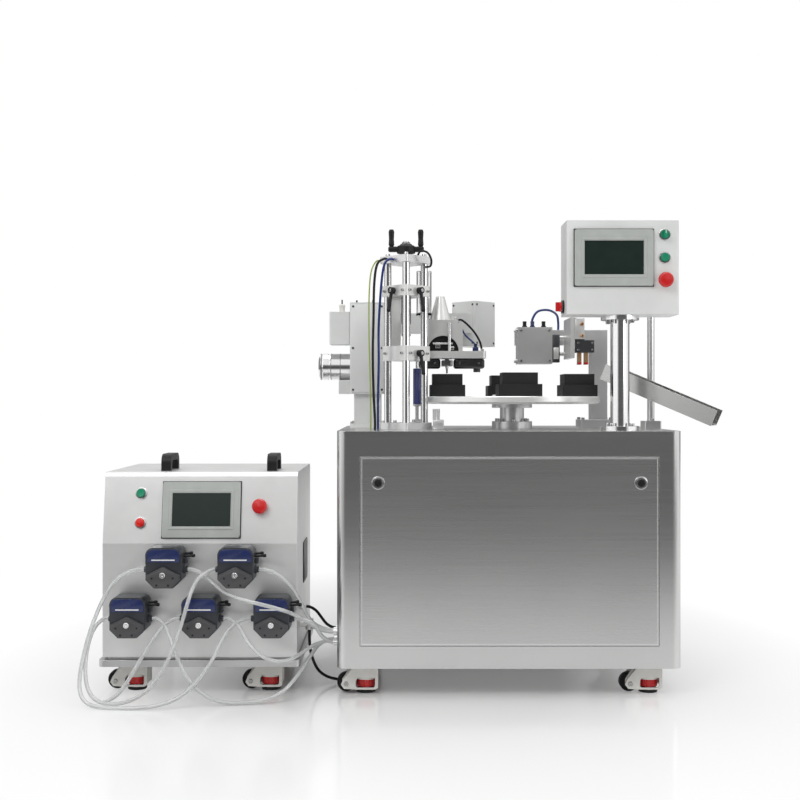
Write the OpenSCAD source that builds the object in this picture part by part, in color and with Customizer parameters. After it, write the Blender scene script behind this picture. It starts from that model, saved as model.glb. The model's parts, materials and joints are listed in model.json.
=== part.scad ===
// Rotary tube filling machine with its peristaltic pump unit.
// X runs to the right, Y to the back, Z up; the cabinet's left front edge is the working datum.

/* [Main cabinet] */
// Width of the main cabinet
cabinet_w = 900; // [840:10:1000]
// Depth of the main cabinet
cabinet_d = 650; // [620:10:750]
// Height of the sheet cabinet without castors
cabinet_h = 618; // [580:1:680]
// Radius of the cabinet's upright corners
cabinet_corner_r = 26; // [12:1:40]
// Thickness of the housings' sheet metal
sheet_t = 3; // [2:0.5:4]
// Width of the service panel
door_w = 778; // [700:1:790]
// Height of the service panel
door_h = 492; // [420:1:520]
// Height of the service panel's lower edge above the cabinet floor
door_lift = 59; // [40:1:80]
// Depth of the service panel's folded edges
door_depth = 16; // [12:1:24]
// Radius of the panel lock's head
lock_r = 13; // [10:1:16]

/* [Castors] */
// Height of a levelling castor
castor_h = 76; // [74:1:90]
// Radius of the castor wheel
castor_wheel_r = 25; // [20:1:26]
// Width of the castor wheel
castor_wheel_w = 24; // [18:1:28]
// Distance from the swivel axis to the wheel's axle
castor_trail = 52; // [50:1:60]
// Distance of a castor from the housing's edges
castor_inset = 75; // [65:1:90]

/* [Indexing table] */
// Diameter of the indexing table
table_d = 500; // [470:1:520]
// Thickness of the indexing table
table_t = 21; // [15:1:25]
// Height of the hub column, foot to bearing face
hub_h = 69.7; // [60:0.1:75]
// Distance of the table's axis to the right of the cabinet's middle
table_offset = 37; // [30:1:45]
// Distance of the table's axis from the cabinet's front
table_y = 320; // [310:1:330]
// Radius on which the nests stand
nest_ring_r = 187; // [180:1:190]
// Width of a nest's jaws along the ring
nest_w = 95; // [90:1:105]
// Depth of a nest's jaws across the ring
nest_d = 85; // [70:1:90]
// Height of a nest's foot
nest_foot_h = 33; // [28:1:36]
// Height of a nest's jaws
nest_jaw_h = 31; // [26:1:36]
// Width of the pocket that takes a strip of tubes
pocket_w = 74; // [70:1:78]
// Depth of the pocket across the strip
pocket_d = 17; // [15:1:22]

/* [Filling column] */
// Distance of the column's axis to the left of the table's axis
lift_reach = 305; // [300:1:310]
// Distance of the column's axis from the cabinet's front
lift_y = 230; // [225:1:235]
// Edge of the column's square plates
lift_plate_w = 105; // [100:1:110]
// Thickness of the column's foot plate
lift_foot_t = 18; // [14:1:22]
// Thickness of the column's head plate
lift_head_t = 20; // [15:1:24]
// Length of the guide posts between the plates
lift_post_h = 443; // [430:1:470]
// Diameter of a guide post
lift_post_d = 20; // [16:1:22]
// Distance between neighbouring guide posts
lift_pitch = 72; // [68:1:76]
// Diameter of the lead screw
screw_d = 16; // [12:1:20]
// Lowest height of the filling arm's clamp above the table top
clamp_lift = 190; // [185:1:200]
// Travel of the filling arm
arm_travel = 50; // [40:1:55]
// Number of filling needles
needle_count = 5; // [3:1:5]
// Distance between neighbouring needles
needle_pitch = 14; // [12:1:15]

/* [Control box] */
// Width of the control box
box_w = 293; // [280:1:320]
// Height of the control box
box_h = 245; // [230:1:270]
// Depth of the control box
box_d = 110; // [100:1:130]
// Height of the control post
post_h = 304; // [280:1:330]
// Diameter of the control post
post_d = 50; // [40:1:56]
// Distance of the control post from the cabinet's right side
post_inset = 152; // [148:1:155]
// Width of a touch panel's frame
hmi_w = 205; // [180:1:206]
// Height of a touch panel's frame
hmi_h = 147; // [130:1:148]

/* [Unloading station] */
// Travel of the unloading slide to each side of rest
unload_travel = 16; // [10:1:18]
// Travel of the unloading lift
lift_travel = 24; // [15:1:26]
// Length of the discharge chute
chute_l = 330; // [300:1:340]
// Width of the discharge chute
chute_w = 80; // [70:1:90]
// Height of the chute's side walls
chute_h = 45; // [35:1:55]
// Slope of the discharge chute, degrees
chute_pitch = 23; // [20:1:24]
// Turn of the chute towards the front, degrees
chute_yaw = 26; // [24:1:28]

/* [Pump unit] */
// Width of the pump cabinet
pump_w = 510; // [500:1:540]
// Depth of the pump cabinet
pump_d = 450; // [420:1:480]
// Height of the pump cabinet above its tray
pump_h = 484; // [470:1:500]
// Height of the upright lower front
pump_front_h = 298; // [290:1:302]
// Tilt of the upper front, degrees
pump_tilt = 10; // [6:1:14]
// Gap between the two units
unit_gap = 106; // [100:1:120]
// Width of a pump head
head_w = 92; // [86:1:98]
// Height of a pump head
head_h = 104; // [98:1:110]
// Depth of a pump head
head_d = 95; // [85:1:100]
// Diameter of the clear product hoses
hose_d = 10; // [8:1:11]

/* [Hidden] */
$fn = 48;
eps = 0.01;
// Running clearance of a shaft in its hole, and air between loose neighbours
run_gap = 0.05;
air = 0.3;
// Seam between bolted blocks
seam = 0.05;

// Heights
top_z = castor_h + cabinet_h;
table_z = top_z + hub_h + air;
nest_z = table_z + table_t;
nest_top_z = nest_z + nest_foot_h + nest_jaw_h;

// Stations along the cabinet's width
table_x = cabinet_w / 2 + table_offset;
lift_x = table_x - lift_reach;
post_x = cabinet_w - post_inset;

// Door opening
door_gap = 0.8;
door_x0 = (cabinet_w - door_w) / 2;
door_z0 = castor_h + door_lift;
ledge_w = 14;
lock_inset = 47;
lock_drop = 68;
lock_stem_r = 6;
lock_xs = [door_x0 + lock_inset, door_x0 + door_w - lock_inset];
lock_z = door_z0 + door_h - lock_drop;

// Castors: plate, pin, pad and axle
plate_t = 6;
plate_w = 70;
swivel_r = 8;
swivel_l = 15;
axle_r = 4;
wheel_lift = 1.3;
castor_hub_r = 29;
pad_r = 24;
pad_h = 10;

// Pump unit datum: its left lower front corner
pump_tray_h = 24;
tray_lip = 9;
tray_gap = 6;
pump_x0 = -unit_gap - pump_w;
pump_y0 = 30;
pump_z0 = castor_h + pump_tray_h;
panel_l = (pump_h - pump_front_h) / cos(pump_tilt);

function castor_spots() = [
    for (x = [castor_inset, cabinet_w - castor_inset], y = [castor_inset, cabinet_d - castor_inset])
        [x, y],
    for (x = [castor_inset, pump_w - castor_inset], y = [castor_inset, pump_d - castor_inset])
        [pump_x0 + x, pump_y0 + y]
];
castor_at = castor_spots();

// Hub and table
hub_flange_r = 57.5;
hub_r = 34.5;
hub_foot_t = 20;
hub_head_t = 11;
spindle_r = 15;
spindle_l = hub_h + 45;
nest_lip = 11;

// Filling column
lift_half = lift_pitch / 2;
lift_head_z = top_z + lift_foot_t + lift_post_h;
clamp_z = top_z + clamp_lift;
clamp_w = 98;
clamp_t = 41;
upper_clamp_t = 30;
upper_clamp_z = clamp_z + 179;
tie_t = 8;
arm_t = 20;
needle_x = table_x - nest_ring_r;
needle_y = table_y;
needle_l = 20;
needle_r = 1.6;
needle_block_t = 16;
guide_r = 5;
guide_pitch = 66;
needle_top_z = clamp_z + 4;

// Control box
post_y = 60;
post_wall = 4;
box_x0 = post_x - 149;
box_y0 = 5;
box_z0 = top_z + post_h;
hmi_x = box_x0 + 20 + hmi_w / 2;
hmi_z = box_z0 + 74 + hmi_h / 2;
button_x = box_x0 + box_w - 38;
button_zs = [box_z0 + 208, box_z0 + 148, box_z0 + 89];
hmi_t = 8;
screen_w = 154;
screen_h = 88;
screen_t = 2;
screen_recess = 3;

// Push buttons
button_r = 11;
button_ring_r = 15;
button_ring_t = 4;
button_stem_r = 8;
stop_r = 20;
side_switch_y = 60;
side_switch_z = box_z0 + 24;

// Unloading station
grip_x = table_x + nest_ring_r + unload_travel;
grip_y = table_y;
rod_r = 6;
unload_block = [101, 65, 108];
unload_column = [50, 40, 290];
unload_y = table_y + 130;
unload_block_at = [grip_x - 179, unload_y - unload_block[1], top_z + 187];
rod_zs = [unload_block_at[2] + 30, unload_block_at[2] + 78];
slide_plate_t = 12;
slide_plate_x = grip_x - 38;
finger_z = nest_top_z + lift_travel + 4;
finger_h = 34;
grip_z = finger_z + finger_h;

// Chute and slim post
chute_at = [grip_x + unload_travel + 34, 255, top_z + 140];
chute_t = 3;
slim_x = cabinet_w - 26;
slim_y = 262;
slim_r = 10;
slim_h = 308;
slim_base = [48, 60, 22];

// Origin: middle of the footprint, on the floor
x_left = pump_x0 - tray_lip;
x_right = chute_at[0] + chute_l * cos(chute_pitch) * cos(chute_yaw)
    + chute_h * sin(chute_pitch) * cos(chute_yaw) + chute_w / 2 * sin(chute_yaw);
y_front = pump_y0 - head_d;
y_back = cabinet_d;
origin = [(x_left + x_right) / 2, (y_front + y_back) / 2, 0];

// Pump heads: places of their shafts, and their ports
head_pitch = 184;
head_mid = pump_x0 + pump_w / 2 + 13;
head_zs = [pump_z0 + 245, pump_z0 + 118];
head_at = [
    [head_mid - head_pitch / 2, head_zs[0]],
    [head_mid + head_pitch / 2, head_zs[0]],
    for (k = [-1:1]) [head_mid + k * head_pitch, head_zs[1]]
];
port_l = 10;
port_drop = 8;
port_depth = 45;
shaft_r = 5;

// Hose ports on the main cabinet's left wall
wall_port_l = 12;
wall_ports = [[62, 160], [86, 160], [62, 132], [86, 132], [110, 132]];

// Clear hoses, chosen by hand: loops on the left, runs to the main cabinet on the right
hose_routes = [
    [[-496, -15, 337], [-520, -15, 337], [-575, -28, 300], [-632, -45, 200], [-664, -65, 100],
        [-668, -95, 32], [-635, -125, 6], [-560, -140, 6], [-470, -135, 6], [-385, -110, 24],
        [-305, -80, 90], [-255, -40, 170], [-236, -15, 210], [-220, -15, 210]],
    [[-588, -15, 210], [-606, -15, 210], [-646, -40, 150], [-652, -70, 65], [-620, -98, 9],
        [-545, -105, 6], [-465, -105, 45], [-405, -98, 140], [-368, -88, 240], [-350, -50, 308],
        [-330, -15, 337], [-312, -15, 337]],
    [[-404, -15, 210], [-424, -15, 210], [-470, -45, 145], [-518, -66, 65], [-558, -70, 14],
        [-592, -68, 6]],
    [[-384, -15, 337], [-364, -15, 337], [-326, -40, 292], [-270, -68, 272], [-200, -85, 262],
        [-110, -60, 235], [-62, 10, 196], [-30, 62, 160], [-12, 62, 160]],
    [[-200, -15, 337], [-182, -15, 337], [-122, -30, 296], [-76, 20, 235], [-30, 86, 160], [-12, 86, 160]],
    [[-108, -15, 210], [-92, -15, 210], [-62, 20, 178], [-30, 62, 132], [-12, 62, 132]],
    [[-292, -15, 210], [-274, -15, 210], [-236, -62, 150], [-176, -82, 112], [-106, -50, 104],
        [-30, 86, 132], [-12, 86, 132]],
    [[-476, -15, 210], [-458, -15, 210], [-418, -62, 130], [-368, -84, 52], [-300, -78, 10],
        [-222, -64, 6], [-140, -44, 24], [-72, 36, 84], [-30, 110, 132], [-12, 110, 132]]
];

// Black cables between the units
cable_d = 8;
cable_routes = [
    [[-82, 150, 150], [-82, 150, 120], [-77, 151, 80], [-55, 156, 32], [-10, 168, 9], [48, 188, 9],
        [92, 204, 28], [110, 210, 50], [110, 210, 66]],
    [[-94, 190, 205], [-76, 190, 205], [-46, 190, 172], [-30, 190, 146], [-12, 190, 146]]
];

// Air tubes that the filling column and the unloading station hold, from their fittings
air_tube_d = 7;
lift_head = [lift_x, lift_y, lift_head_z];
lift_foot = [lift_x, lift_y, top_z];
block_top = unload_block_at + [0, 0, unload_block[2]];
beam_top = [unload_block_at[0], unload_y, top_z + unload_column[2]];
// Point off the front left face of the column's head plate: u along it, out from it
function left_face(u, out, z) = let (f = lift_plate_w / 2 + out) [-f - u, u - f, 0] * cos(45) + [0, 0, z];
air_routes = [
    [for (p = [left_face(21, 0, 11), left_face(21, 14, 11), [-80, -46, -6], [-88, -50, -60]]) lift_head + p,
        for (p = [[-90, -50, 306], [-92, -50, 206], [-90, -50, 106], [-86, -50, 26], [-86, -50, 0]])
            lift_foot + p],
    [for (p = [left_face(-2, 0, 9), left_face(-2, 12, 9), [-59, -50, -4], [-68, -44, -55]]) lift_head + p,
        for (p = [[-76, -30, 286], [-76, -28, 186], [-78, -28, 86], [-78, -28, 26], [-78, -28, 0]])
            lift_foot + p],
    [for (p = [[129, 16, 0], [129, 16, 24], [122, 2, 46]]) beam_top + p,
        for (p = [[94, 33, 52], [62, 31, 48], [46, 33, 24], [46, 33, 0]]) block_top + p]
];

function numbered(name, n) = [for (k = [1:n]) str(name, k)];

// Shared shapes

// Rectangle with round corners, lower left corner at the origin
module rounded_rect(w, d, r) {
    translate([r, 0])
        square([w - 2 * r, d]);
    translate([0, r])
        square([w, d - 2 * r]);
    for (x = [r, w - r], y = [r, d - r])
        translate([x, y])
            circle(r);
}

// Upright block with round upright edges
module rounded_slab(size, r) {
    linear_extrude(size[2])
        rounded_rect(size[0], size[1], r);
}

// Cylinder along Y from y = 0
module rod_y(r, l) {
    rotate([-90, 0, 0])
        cylinder(r = r, h = l);
}

// Cylinder along X from x = 0
module rod_x(r, l) {
    rotate([0, 90, 0])
        cylinder(r = r, h = l);
}

// Flange slipped over a column
module flange_ring(r, hole_r, t) {
    difference() {
        cylinder(r = r, h = t);
        translate([0, 0, -1])
            cylinder(r = hole_r, h = t + 2);
    }
}

// Column frame: turned a corner to the front, origin on its axis at the table top
module lift_frame(z) {
    translate([lift_x, lift_y, z])
        rotate([0, 0, 45])
            children();
}

// Square plate on the column axis
module lift_plate(w, t) {
    translate([-w / 2, -w / 2, 0])
        rounded_slab([w, w, t], 6);
}

// Places of the four guide posts
module at_posts() {
    for (x = [-lift_half, lift_half], y = [-lift_half, lift_half])
        translate([x, y, 0])
            children();
}

// Point on the pump unit's tilted front, x from its left side and s up the slope
module on_panel(x, s) {
    translate([pump_x0 + x, pump_y0, pump_z0 + pump_front_h])
        rotate([-pump_tilt, 0, 0])
            translate([0, 0, s])
                children();
}

// Castor plate with its swivel pin, under a housing
module castor_mounts(spots) {
    for (p = spots)
        translate([p[0], p[1], castor_h - plate_t]) {
            translate([-plate_w / 2, -plate_w / 2, 0])
                rounded_slab([plate_w, plate_w, plate_t], 8);
            translate([0, 0, -swivel_l])
                cylinder(r = swivel_r, h = swivel_l + eps);
        }
}

// Ring round a push button, on a panel that faces -Y
module button_ring() {
    translate([0, -button_ring_t, 0])
        difference() {
            rod_y(button_ring_r, button_ring_t + eps);
            translate([0, -eps, 0])
                rod_y(button_r + air, button_ring_t + 3 * eps);
        }
}

// Hole in a panel for a control's stem
module stem_hole() {
    translate([0, -button_ring_t, 0])
        rod_y(button_stem_r + run_gap, button_ring_t + 2 * sheet_t + 4);
}

// Stem of a control with its retaining washer behind the panel
module control_stem(from) {
    translate([0, from, 0])
        rod_y(button_stem_r, sheet_t + 10 - from);
    translate([0, sheet_t + 7, 0])
        rod_y(button_stem_r + 3, 3);
}

// Tube swept along a route with square-cut ends
function unit(v) = v / norm(v);
function heading(pts, i) = unit(pts[min(i + 1, len(pts) - 1)] - pts[max(i - 1, 0)]);
function side_of(t) = unit(cross(t, [0.2, 1, 0.35]));
module swept_tube(pts, d, sides) {
    last = len(pts) - 1;
    ends = [
        for (i = [0:last])
            i == 0 ? unit(pts[1] - pts[0])
                : i == last ? unit(pts[last] - pts[last - 1])
                : heading(pts, i)
    ];
    rings = [
        for (i = [0:last])
            let (a = side_of(ends[i]), b = cross(ends[i], a))
            for (k = [0:sides - 1])
                pts[i] + d / 2 * (cos(360 * k / sides) * a + sin(360 * k / sides) * b)
    ];
    skin = [
        for (i = [0:last - 1], k = [0:sides - 1])
            let (n = (k + 1) % sides)
            [i * sides + k, (i + 1) * sides + k, (i + 1) * sides + n, i * sides + n]
    ];
    caps = [[for (k = [0:sides - 1]) k], [for (k = [0:sides - 1]) last * sides + sides - 1 - k]];
    polyhedron(rings, concat(skin, caps));
}

// Main unit

module cabinet_shell() {
    jamb_t = 2;
    in_d = sheet_t;
    color("silver")
        difference() {
            union() {
                difference() {
                    translate([0, 0, castor_h])
                        rounded_slab([cabinet_w, cabinet_d, cabinet_h], cabinet_corner_r);
                    translate([in_d, in_d, castor_h + in_d])
                        rounded_slab([cabinet_w - 2 * in_d, cabinet_d - 2 * in_d, cabinet_h - 2 * in_d],
                            cabinet_corner_r - in_d);
                }
                // Folded jamb and ledge that the service panel seats on
                translate([door_x0 - door_gap - jamb_t, in_d - eps, door_z0 - door_gap - jamb_t])
                    cube([door_w + 2 * (door_gap + jamb_t), door_depth + air + jamb_t - in_d,
                        door_h + 2 * (door_gap + jamb_t)]);
                castor_mounts([for (k = [0:3]) castor_at[k]]);
                for (p = wall_ports)
                    translate([-wall_port_l, p[0], p[1]])
                        rod_x(hose_d / 2 + 3, wall_port_l + eps);
                // Cable gland under the floor and on the left wall
                translate([110, 210, castor_h - 10])
                    cylinder(r = cable_d, h = 10 + eps);
                translate([-wall_port_l, 190, 146])
                    rod_x(cable_d, wall_port_l + eps);
            }
            translate([door_x0 - door_gap, -1, door_z0 - door_gap])
                cube([door_w + 2 * door_gap, 1 + door_depth + air, door_h + 2 * door_gap]);
            translate([door_x0 + ledge_w, -1, door_z0 + ledge_w])
                cube([door_w - 2 * ledge_w, 3 * door_depth, door_h - 2 * ledge_w]);
            translate([table_x, table_y, top_z - 2 * sheet_t])
                cylinder(r = spindle_r + 5, h = 3 * sheet_t);
        }
}

module front_door() {
    skin = 2;
    color("lightgray")
        difference() {
            translate([door_x0, 0, door_z0])
                cube([door_w, door_depth, door_h]);
            translate([door_x0 + skin, skin, door_z0 + skin])
                cube([door_w - 2 * skin, door_depth, door_h - 2 * skin]);
            for (x = lock_xs)
                translate([x, -1, lock_z])
                    rod_y(lock_stem_r + run_gap, skin + 2);
        }
}

// Quarter-turn lock: slotted head, stem and cam, unlocked with the cam upright
module door_lock(x) {
    cam_y = door_depth + air + 3;
    color("gray")
        translate([x, 0, lock_z]) {
            difference() {
                translate([0, -4 - air, 0])
                    rod_y(lock_r, 4);
                translate([-1.5, -5 - air, -8])
                    cube([3, 3, 16]);
            }
            translate([0, -air - eps, 0])
                rod_y(lock_stem_r, cam_y + 3 + air);
            translate([-6, cam_y, -8])
                cube([12, 3, 50]);
        }
}

module hub_column() {
    color("gainsboro")
        translate([table_x, table_y, top_z])
            difference() {
                cylinder(r = hub_r, h = hub_h);
                translate([0, 0, -1])
                    cylinder(r = spindle_r + run_gap, h = hub_h + 2);
            }
    color("gainsboro")
        translate([table_x, table_y, top_z]) {
            flange_ring(hub_flange_r, hub_r + seam, hub_foot_t);
            translate([0, 0, hub_h - hub_head_t])
                flange_ring(hub_flange_r, hub_r + seam, hub_head_t);
        }
}

module turntable_disc() {
    rim = 2;
    r = table_d / 2;
    color("whitesmoke")
        translate([table_x, table_y, table_z]) {
            rotate_extrude($fn = 96)
                polygon([[0, 0], [r - 8, 0], [r, 6], [r, table_t - rim], [r - rim, table_t], [60, table_t],
                    [54, table_t + 5], [0, table_t + 5]]);
            translate([0, 0, -spindle_l])
                cylinder(r = spindle_r, h = spindle_l - seam);
        }
}

// One nest: foot, two jaws and two cheeks round the strip pocket
module tube_nest() {
    jaw_t = (nest_d - pocket_d) / 2;
    cheek_t = (nest_w - pocket_w) / 2;
    foot = [nest_d + 14, nest_w + 2 * nest_lip, nest_foot_h];
    translate([-foot[0] / 2, -foot[1] / 2, 0])
        cube(foot);
    for (side = [-1, 1]) {
        translate([side * (pocket_d + jaw_t) / 2 - jaw_t / 2, -nest_w / 2, nest_foot_h + seam])
            cube([jaw_t, nest_w, nest_jaw_h - seam]);
        translate([seam - pocket_d / 2, side * (pocket_w + cheek_t) / 2 - cheek_t / 2, nest_foot_h + seam])
            cube([pocket_d - 2 * seam, cheek_t, nest_jaw_h - seam]);
    }
}

module tube_nests() {
    color("black")
        for (k = [0:3])
            translate([table_x, table_y, nest_z])
                rotate([0, 0, 90 * k])
                    translate([nest_ring_r, 0, 0])
                        tube_nest();
}

module lift_plates() {
    screw_pocket = 10;
    color("silver")
        difference() {
            union() {
                lift_frame(top_z)
                    lift_plate(lift_plate_w, lift_foot_t);
                lift_frame(lift_head_z)
                    lift_plate(lift_plate_w, lift_head_t);
            }
            translate([lift_x, lift_y, top_z + lift_foot_t - screw_pocket])
                cylinder(r = screw_d / 2 + run_gap, h = lift_head_z);
        }
}

module lift_posts() {
    color("lightgray")
        lift_frame(top_z + lift_foot_t)
            at_posts()
                cylinder(r = lift_post_d / 2, h = lift_post_h);
}

arm_z = clamp_z + 9;
arm_x0 = lift_x + 8;
arm_y0 = lift_y + 20;
arm_nose = 108;
arm_l = needle_x + arm_nose - arm_x0;
arm_d = 125;
arch_r = 44;
arch_back = 13;
arch_x = needle_x - arch_back;
arch_y = arm_y0 + 12;
arch_t = 10;
arch_h = 80;
arch_w = 110;
arm_flange = [86, 70, 9];
arm_post_r = 8;
arm_post_h = arm_t + arch_h + 20;
boss_x = needle_x - 20;
boss_y = arch_y + 35;
boss_h = 68;
boss_r = 30;
boss_top_r = 12;
tie_w = 40;

module lift_carriage() {
    color("lightgray")
        difference() {
            union() {
                lift_frame(clamp_z)
                    lift_plate(clamp_w, clamp_t);
                lift_frame(upper_clamp_z)
                    lift_plate(clamp_w, upper_clamp_t);
                lift_frame(clamp_z)
                    translate([-tie_w / 2, clamp_w / 2 - tie_t, 0])
                        cube([tie_w, tie_t, upper_clamp_z + upper_clamp_t - clamp_z]);
                translate([arm_x0, arm_y0, arm_z])
                    rounded_slab([arm_l, arm_d, arm_t], 10);
                // Upright plate with its arched window, and the flange on top
                translate([arch_x - arch_w / 2, arch_y, arm_z + arm_t - eps])
                    cube([arch_w, arch_t, arch_h]);
                translate([arch_x - arm_flange[0] / 2, arch_y, arm_z + arm_t + arch_h - eps])
                    cube(arm_flange);
                translate([needle_x + 20, arch_y + 40, arm_z])
                    cylinder(r = arm_post_r, h = arm_post_h);
                translate([boss_x, boss_y, arm_z + arm_t + arch_h + arm_flange[2] - 2 * eps])
                    cylinder(r1 = boss_r, r2 = boss_top_r, h = boss_h);
            }
            translate([arch_x, arch_y - 1, arm_z + arm_t])
                rod_y(arch_r, arch_t + 2);
            lift_frame(top_z) {
                at_posts()
                    cylinder(r = lift_post_d / 2 + run_gap, h = lift_post_h + 60);
                cylinder(r = screw_d / 2 + run_gap, h = lift_post_h + 60);
            }
            for (side = [-1, 1])
                translate([needle_x, needle_y + side * guide_pitch / 2, arm_z - 1])
                    cylinder(r = guide_r + run_gap, h = arm_t + 2);
            for (k = [0:2])
                lever_frame(k)
                    translate([0, -1, 0])
                        rod_y(lever_stem_r + run_gap, lever_stem_l + 1 + air);
        }
}

// Clamp levers: column face they sit on (0 front left, 1 front right) and height
lever_stem_r = 4;
lever_stem_l = 12;
lever_hub_r = 9;
lever_hub_l = 14;
lever_l = 62;
lever_tilt = 12;
lever_spots = [
    [0, upper_clamp_z + upper_clamp_t / 2],
    [1, upper_clamp_z + upper_clamp_t / 2],
    [1, clamp_z + clamp_t / 2]
];

// Lever frame: origin on the clamp's face, +Y into the clamp
module lever_frame(k) {
    translate([lift_x, lift_y, lever_spots[k][1]])
        rotate([0, 0, lever_spots[k][0] == 0 ? -45 : 45])
            translate([0, -clamp_w / 2, 0])
                children();
}

module clamp_lever(k) {
    color("black")
        lever_frame(k) {
            translate([0, -lever_hub_l - air, 0])
                rod_y(lever_hub_r, lever_hub_l);
            translate([0, -air - eps, 0])
                rod_y(lever_stem_r, lever_stem_l);
            // Waisted handle that leans away from the clamp
            translate([0, -lever_hub_l / 2 - air, 0])
                rotate([180 - lever_tilt, 0, 0])
                    rotate_extrude()
                        polygon([[0, 0], [6, 0], [4.4, 0.3 * lever_l], [4.8, 0.7 * lever_l],
                            [5.6, 0.92 * lever_l], [4.2, lever_l - 1], [0, lever_l]]);
        }
}

module lift_screw() {
    color("gray")
        translate([lift_x, lift_y, 0]) {
            translate([0, 0, top_z + lift_foot_t - 10 + air])
                cylinder(r = screw_d / 2, h = lift_post_h + lift_head_t + 54);
            translate([0, 0, lift_head_z + lift_head_t + air])
                cylinder(r = screw_d / 2 + 6, h = 8);
        }
}

wheel_hub_z = lift_head_z + lift_head_t + 8 + 2 * air;
crank_half = 41;
module handwheel() {
    color("black")
        translate([lift_x, lift_y, wheel_hub_z])
            difference() {
                union() {
                    cylinder(r = 17, h = 26);
                    translate([-crank_half, -8, 8])
                        cube([2 * crank_half, 16, 10]);
                    for (side = [-1, 1])
                        translate([side * crank_half, 0, 8]) {
                            cylinder(r = 9, h = 10);
                            rotate_extrude()
                                polygon([[0, 9], [5, 10], [8, 18], [7, 34], [8, 54], [6, 60], [0, 61]]);
                        }
                }
                translate([0, 0, -1])
                    cylinder(r = screw_d / 2 + run_gap, h = 30);
            }
}

module needle_block() {
    w = 30;
    l = guide_pitch + 20;
    z0 = needle_top_z - needle_block_t;
    color("dimgray") {
        translate([needle_x - w / 2, needle_y - l / 2, z0])
            rounded_slab([w, l, needle_block_t], 8);
        for (side = [-1, 1])
            translate([needle_x, needle_y + side * guide_pitch / 2, needle_top_z - eps])
                cylinder(r = guide_r, h = arm_z + arm_t + 30 - needle_top_z);
        for (k = [0:needle_count - 1])
            translate([needle_x, needle_y + (k - (needle_count - 1) / 2) * needle_pitch, z0 - needle_l])
                cylinder(r = needle_r, h = needle_l + eps);
    }
}

// Sealing unit behind the filling column
seal_x = 18;
seal_y = 380;
seal_size = [103, 140, 268];
seal_z = top_z + 99;
seal_base_t = 12;
seal_inset = [12, 15];
seal_step = [61, 100, 95];
seal_step_lift = 147;
seal_shelf = [34, 80];
barrel_r = 39;
barrel_l = 95;
barrel_z = seal_z + 81;
barrel_y = seal_y + seal_size[1] / 2;
rear_x = table_x - 98;
rear_y = 520;
rear_w = 95;
rear_h = 135;
rear_z = top_z + 243;
rear_beam = [40, 60];
rear_beam_lift = 38;

module sealing_housing() {
    stand = [seal_size[0] - 2 * seal_inset[0], seal_size[1] - 2 * seal_inset[1]];
    color("gainsboro") {
        difference() {
            translate([seal_x, seal_y, seal_z])
                rounded_slab(seal_size, 8);
            translate([seal_x + sheet_t, seal_y + sheet_t, seal_z + sheet_t])
                cube(seal_size - 2 * sheet_t * [1, 1, 1]);
        }
        // Cable box above the barrel, and shelf below it
        translate([seal_x - seal_step[0] - seam, barrel_y - seal_step[1] / 2, seal_z + seal_step_lift])
            rounded_slab(seal_step, 6);
        translate([seal_x - seal_shelf[0] - seam, barrel_y - seal_shelf[1] / 2, seal_z])
            cube([seal_shelf[0], seal_shelf[1], barrel_z - barrel_r - 1 - seal_z]);
        translate([seal_x + seal_inset[0], seal_y + seal_inset[1], top_z + seal_base_t + seam])
            cube([stand[0], stand[1], seal_z - top_z - seal_base_t - 2 * seam]);
        translate([seal_x, seal_y, top_z])
            rounded_slab([seal_size[0], seal_size[1], seal_base_t], 8);
    }
}

module transducer_barrel() {
    nose = 14;
    color("white")
        translate([seal_x, barrel_y, barrel_z])
            rotate([0, -90, 0])
                rotate_extrude()
                    polygon([[0, 0], [barrel_r, 0], [barrel_r, 60], [barrel_r - 3, 60], [barrel_r - 3, 66],
                        [barrel_r, 66], [barrel_r, barrel_l - nose], [barrel_r - 4, barrel_l - 5],
                        [barrel_r - nose, barrel_l], [0, barrel_l]]);
}

// Plan of the rear housing, grown all round
module rear_plan(grow) {
    w = rear_w + 2 * grow;
    translate([rear_x, rear_y, rear_z])
        rotate([0, 0, 45])
            translate([-w / 2, -w / 2, -grow])
                rounded_slab([w, w, rear_h + 2 * grow], 5 + grow);
}

module rear_housing() {
    beam_x = seal_x + seal_size[0];
    color("gainsboro") {
        difference() {
            rear_plan(0);
            rear_plan(-sheet_t);
        }
        // Beam from the sealing unit, cut to the housing's wall
        difference() {
            translate([beam_x, rear_y - rear_beam[0] - 20, rear_z + rear_beam_lift])
                cube([rear_x - beam_x, rear_beam[0], rear_beam[1]]);
            rear_plan(seam);
        }
    }
}

// Unloading station in blocks that are bolted together
column_x = grip_x + 45;
column_base = [100, 100, 22];
beam_h = 45;
module unload_stand() {
    base_x = column_x + (unload_column[0] - column_base[0]) / 2 - 10;
    color("lightgray") {
        translate([base_x, unload_y + (unload_column[1] - column_base[1]) / 2, top_z])
            rounded_slab(column_base, 6);
        translate([column_x, unload_y, top_z + column_base[2] + seam])
            cube(unload_column - [0, 0, column_base[2] + seam]);
        translate([unload_block_at[0], unload_y, top_z + unload_column[2] - beam_h])
            cube([column_x - unload_block_at[0] - seam, unload_column[1], beam_h]);
        difference() {
            translate(unload_block_at)
                cube(unload_block - [0, seam, 0]);
            for (z = rod_zs)
                translate([unload_block_at[0] - 1, unload_block_at[1] + unload_block[1] / 2, z])
                    rod_x(rod_r + run_gap, unload_block[0] + 2);
        }
        translate([slim_x - slim_base[0] / 2, slim_y - slim_base[1] / 2, top_z])
            rounded_slab(slim_base, 5);
        translate([slim_x, slim_y, top_z + slim_base[2] + seam])
            cylinder(r = slim_r, h = slim_h - slim_base[2] - seam);
    }
}

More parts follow.
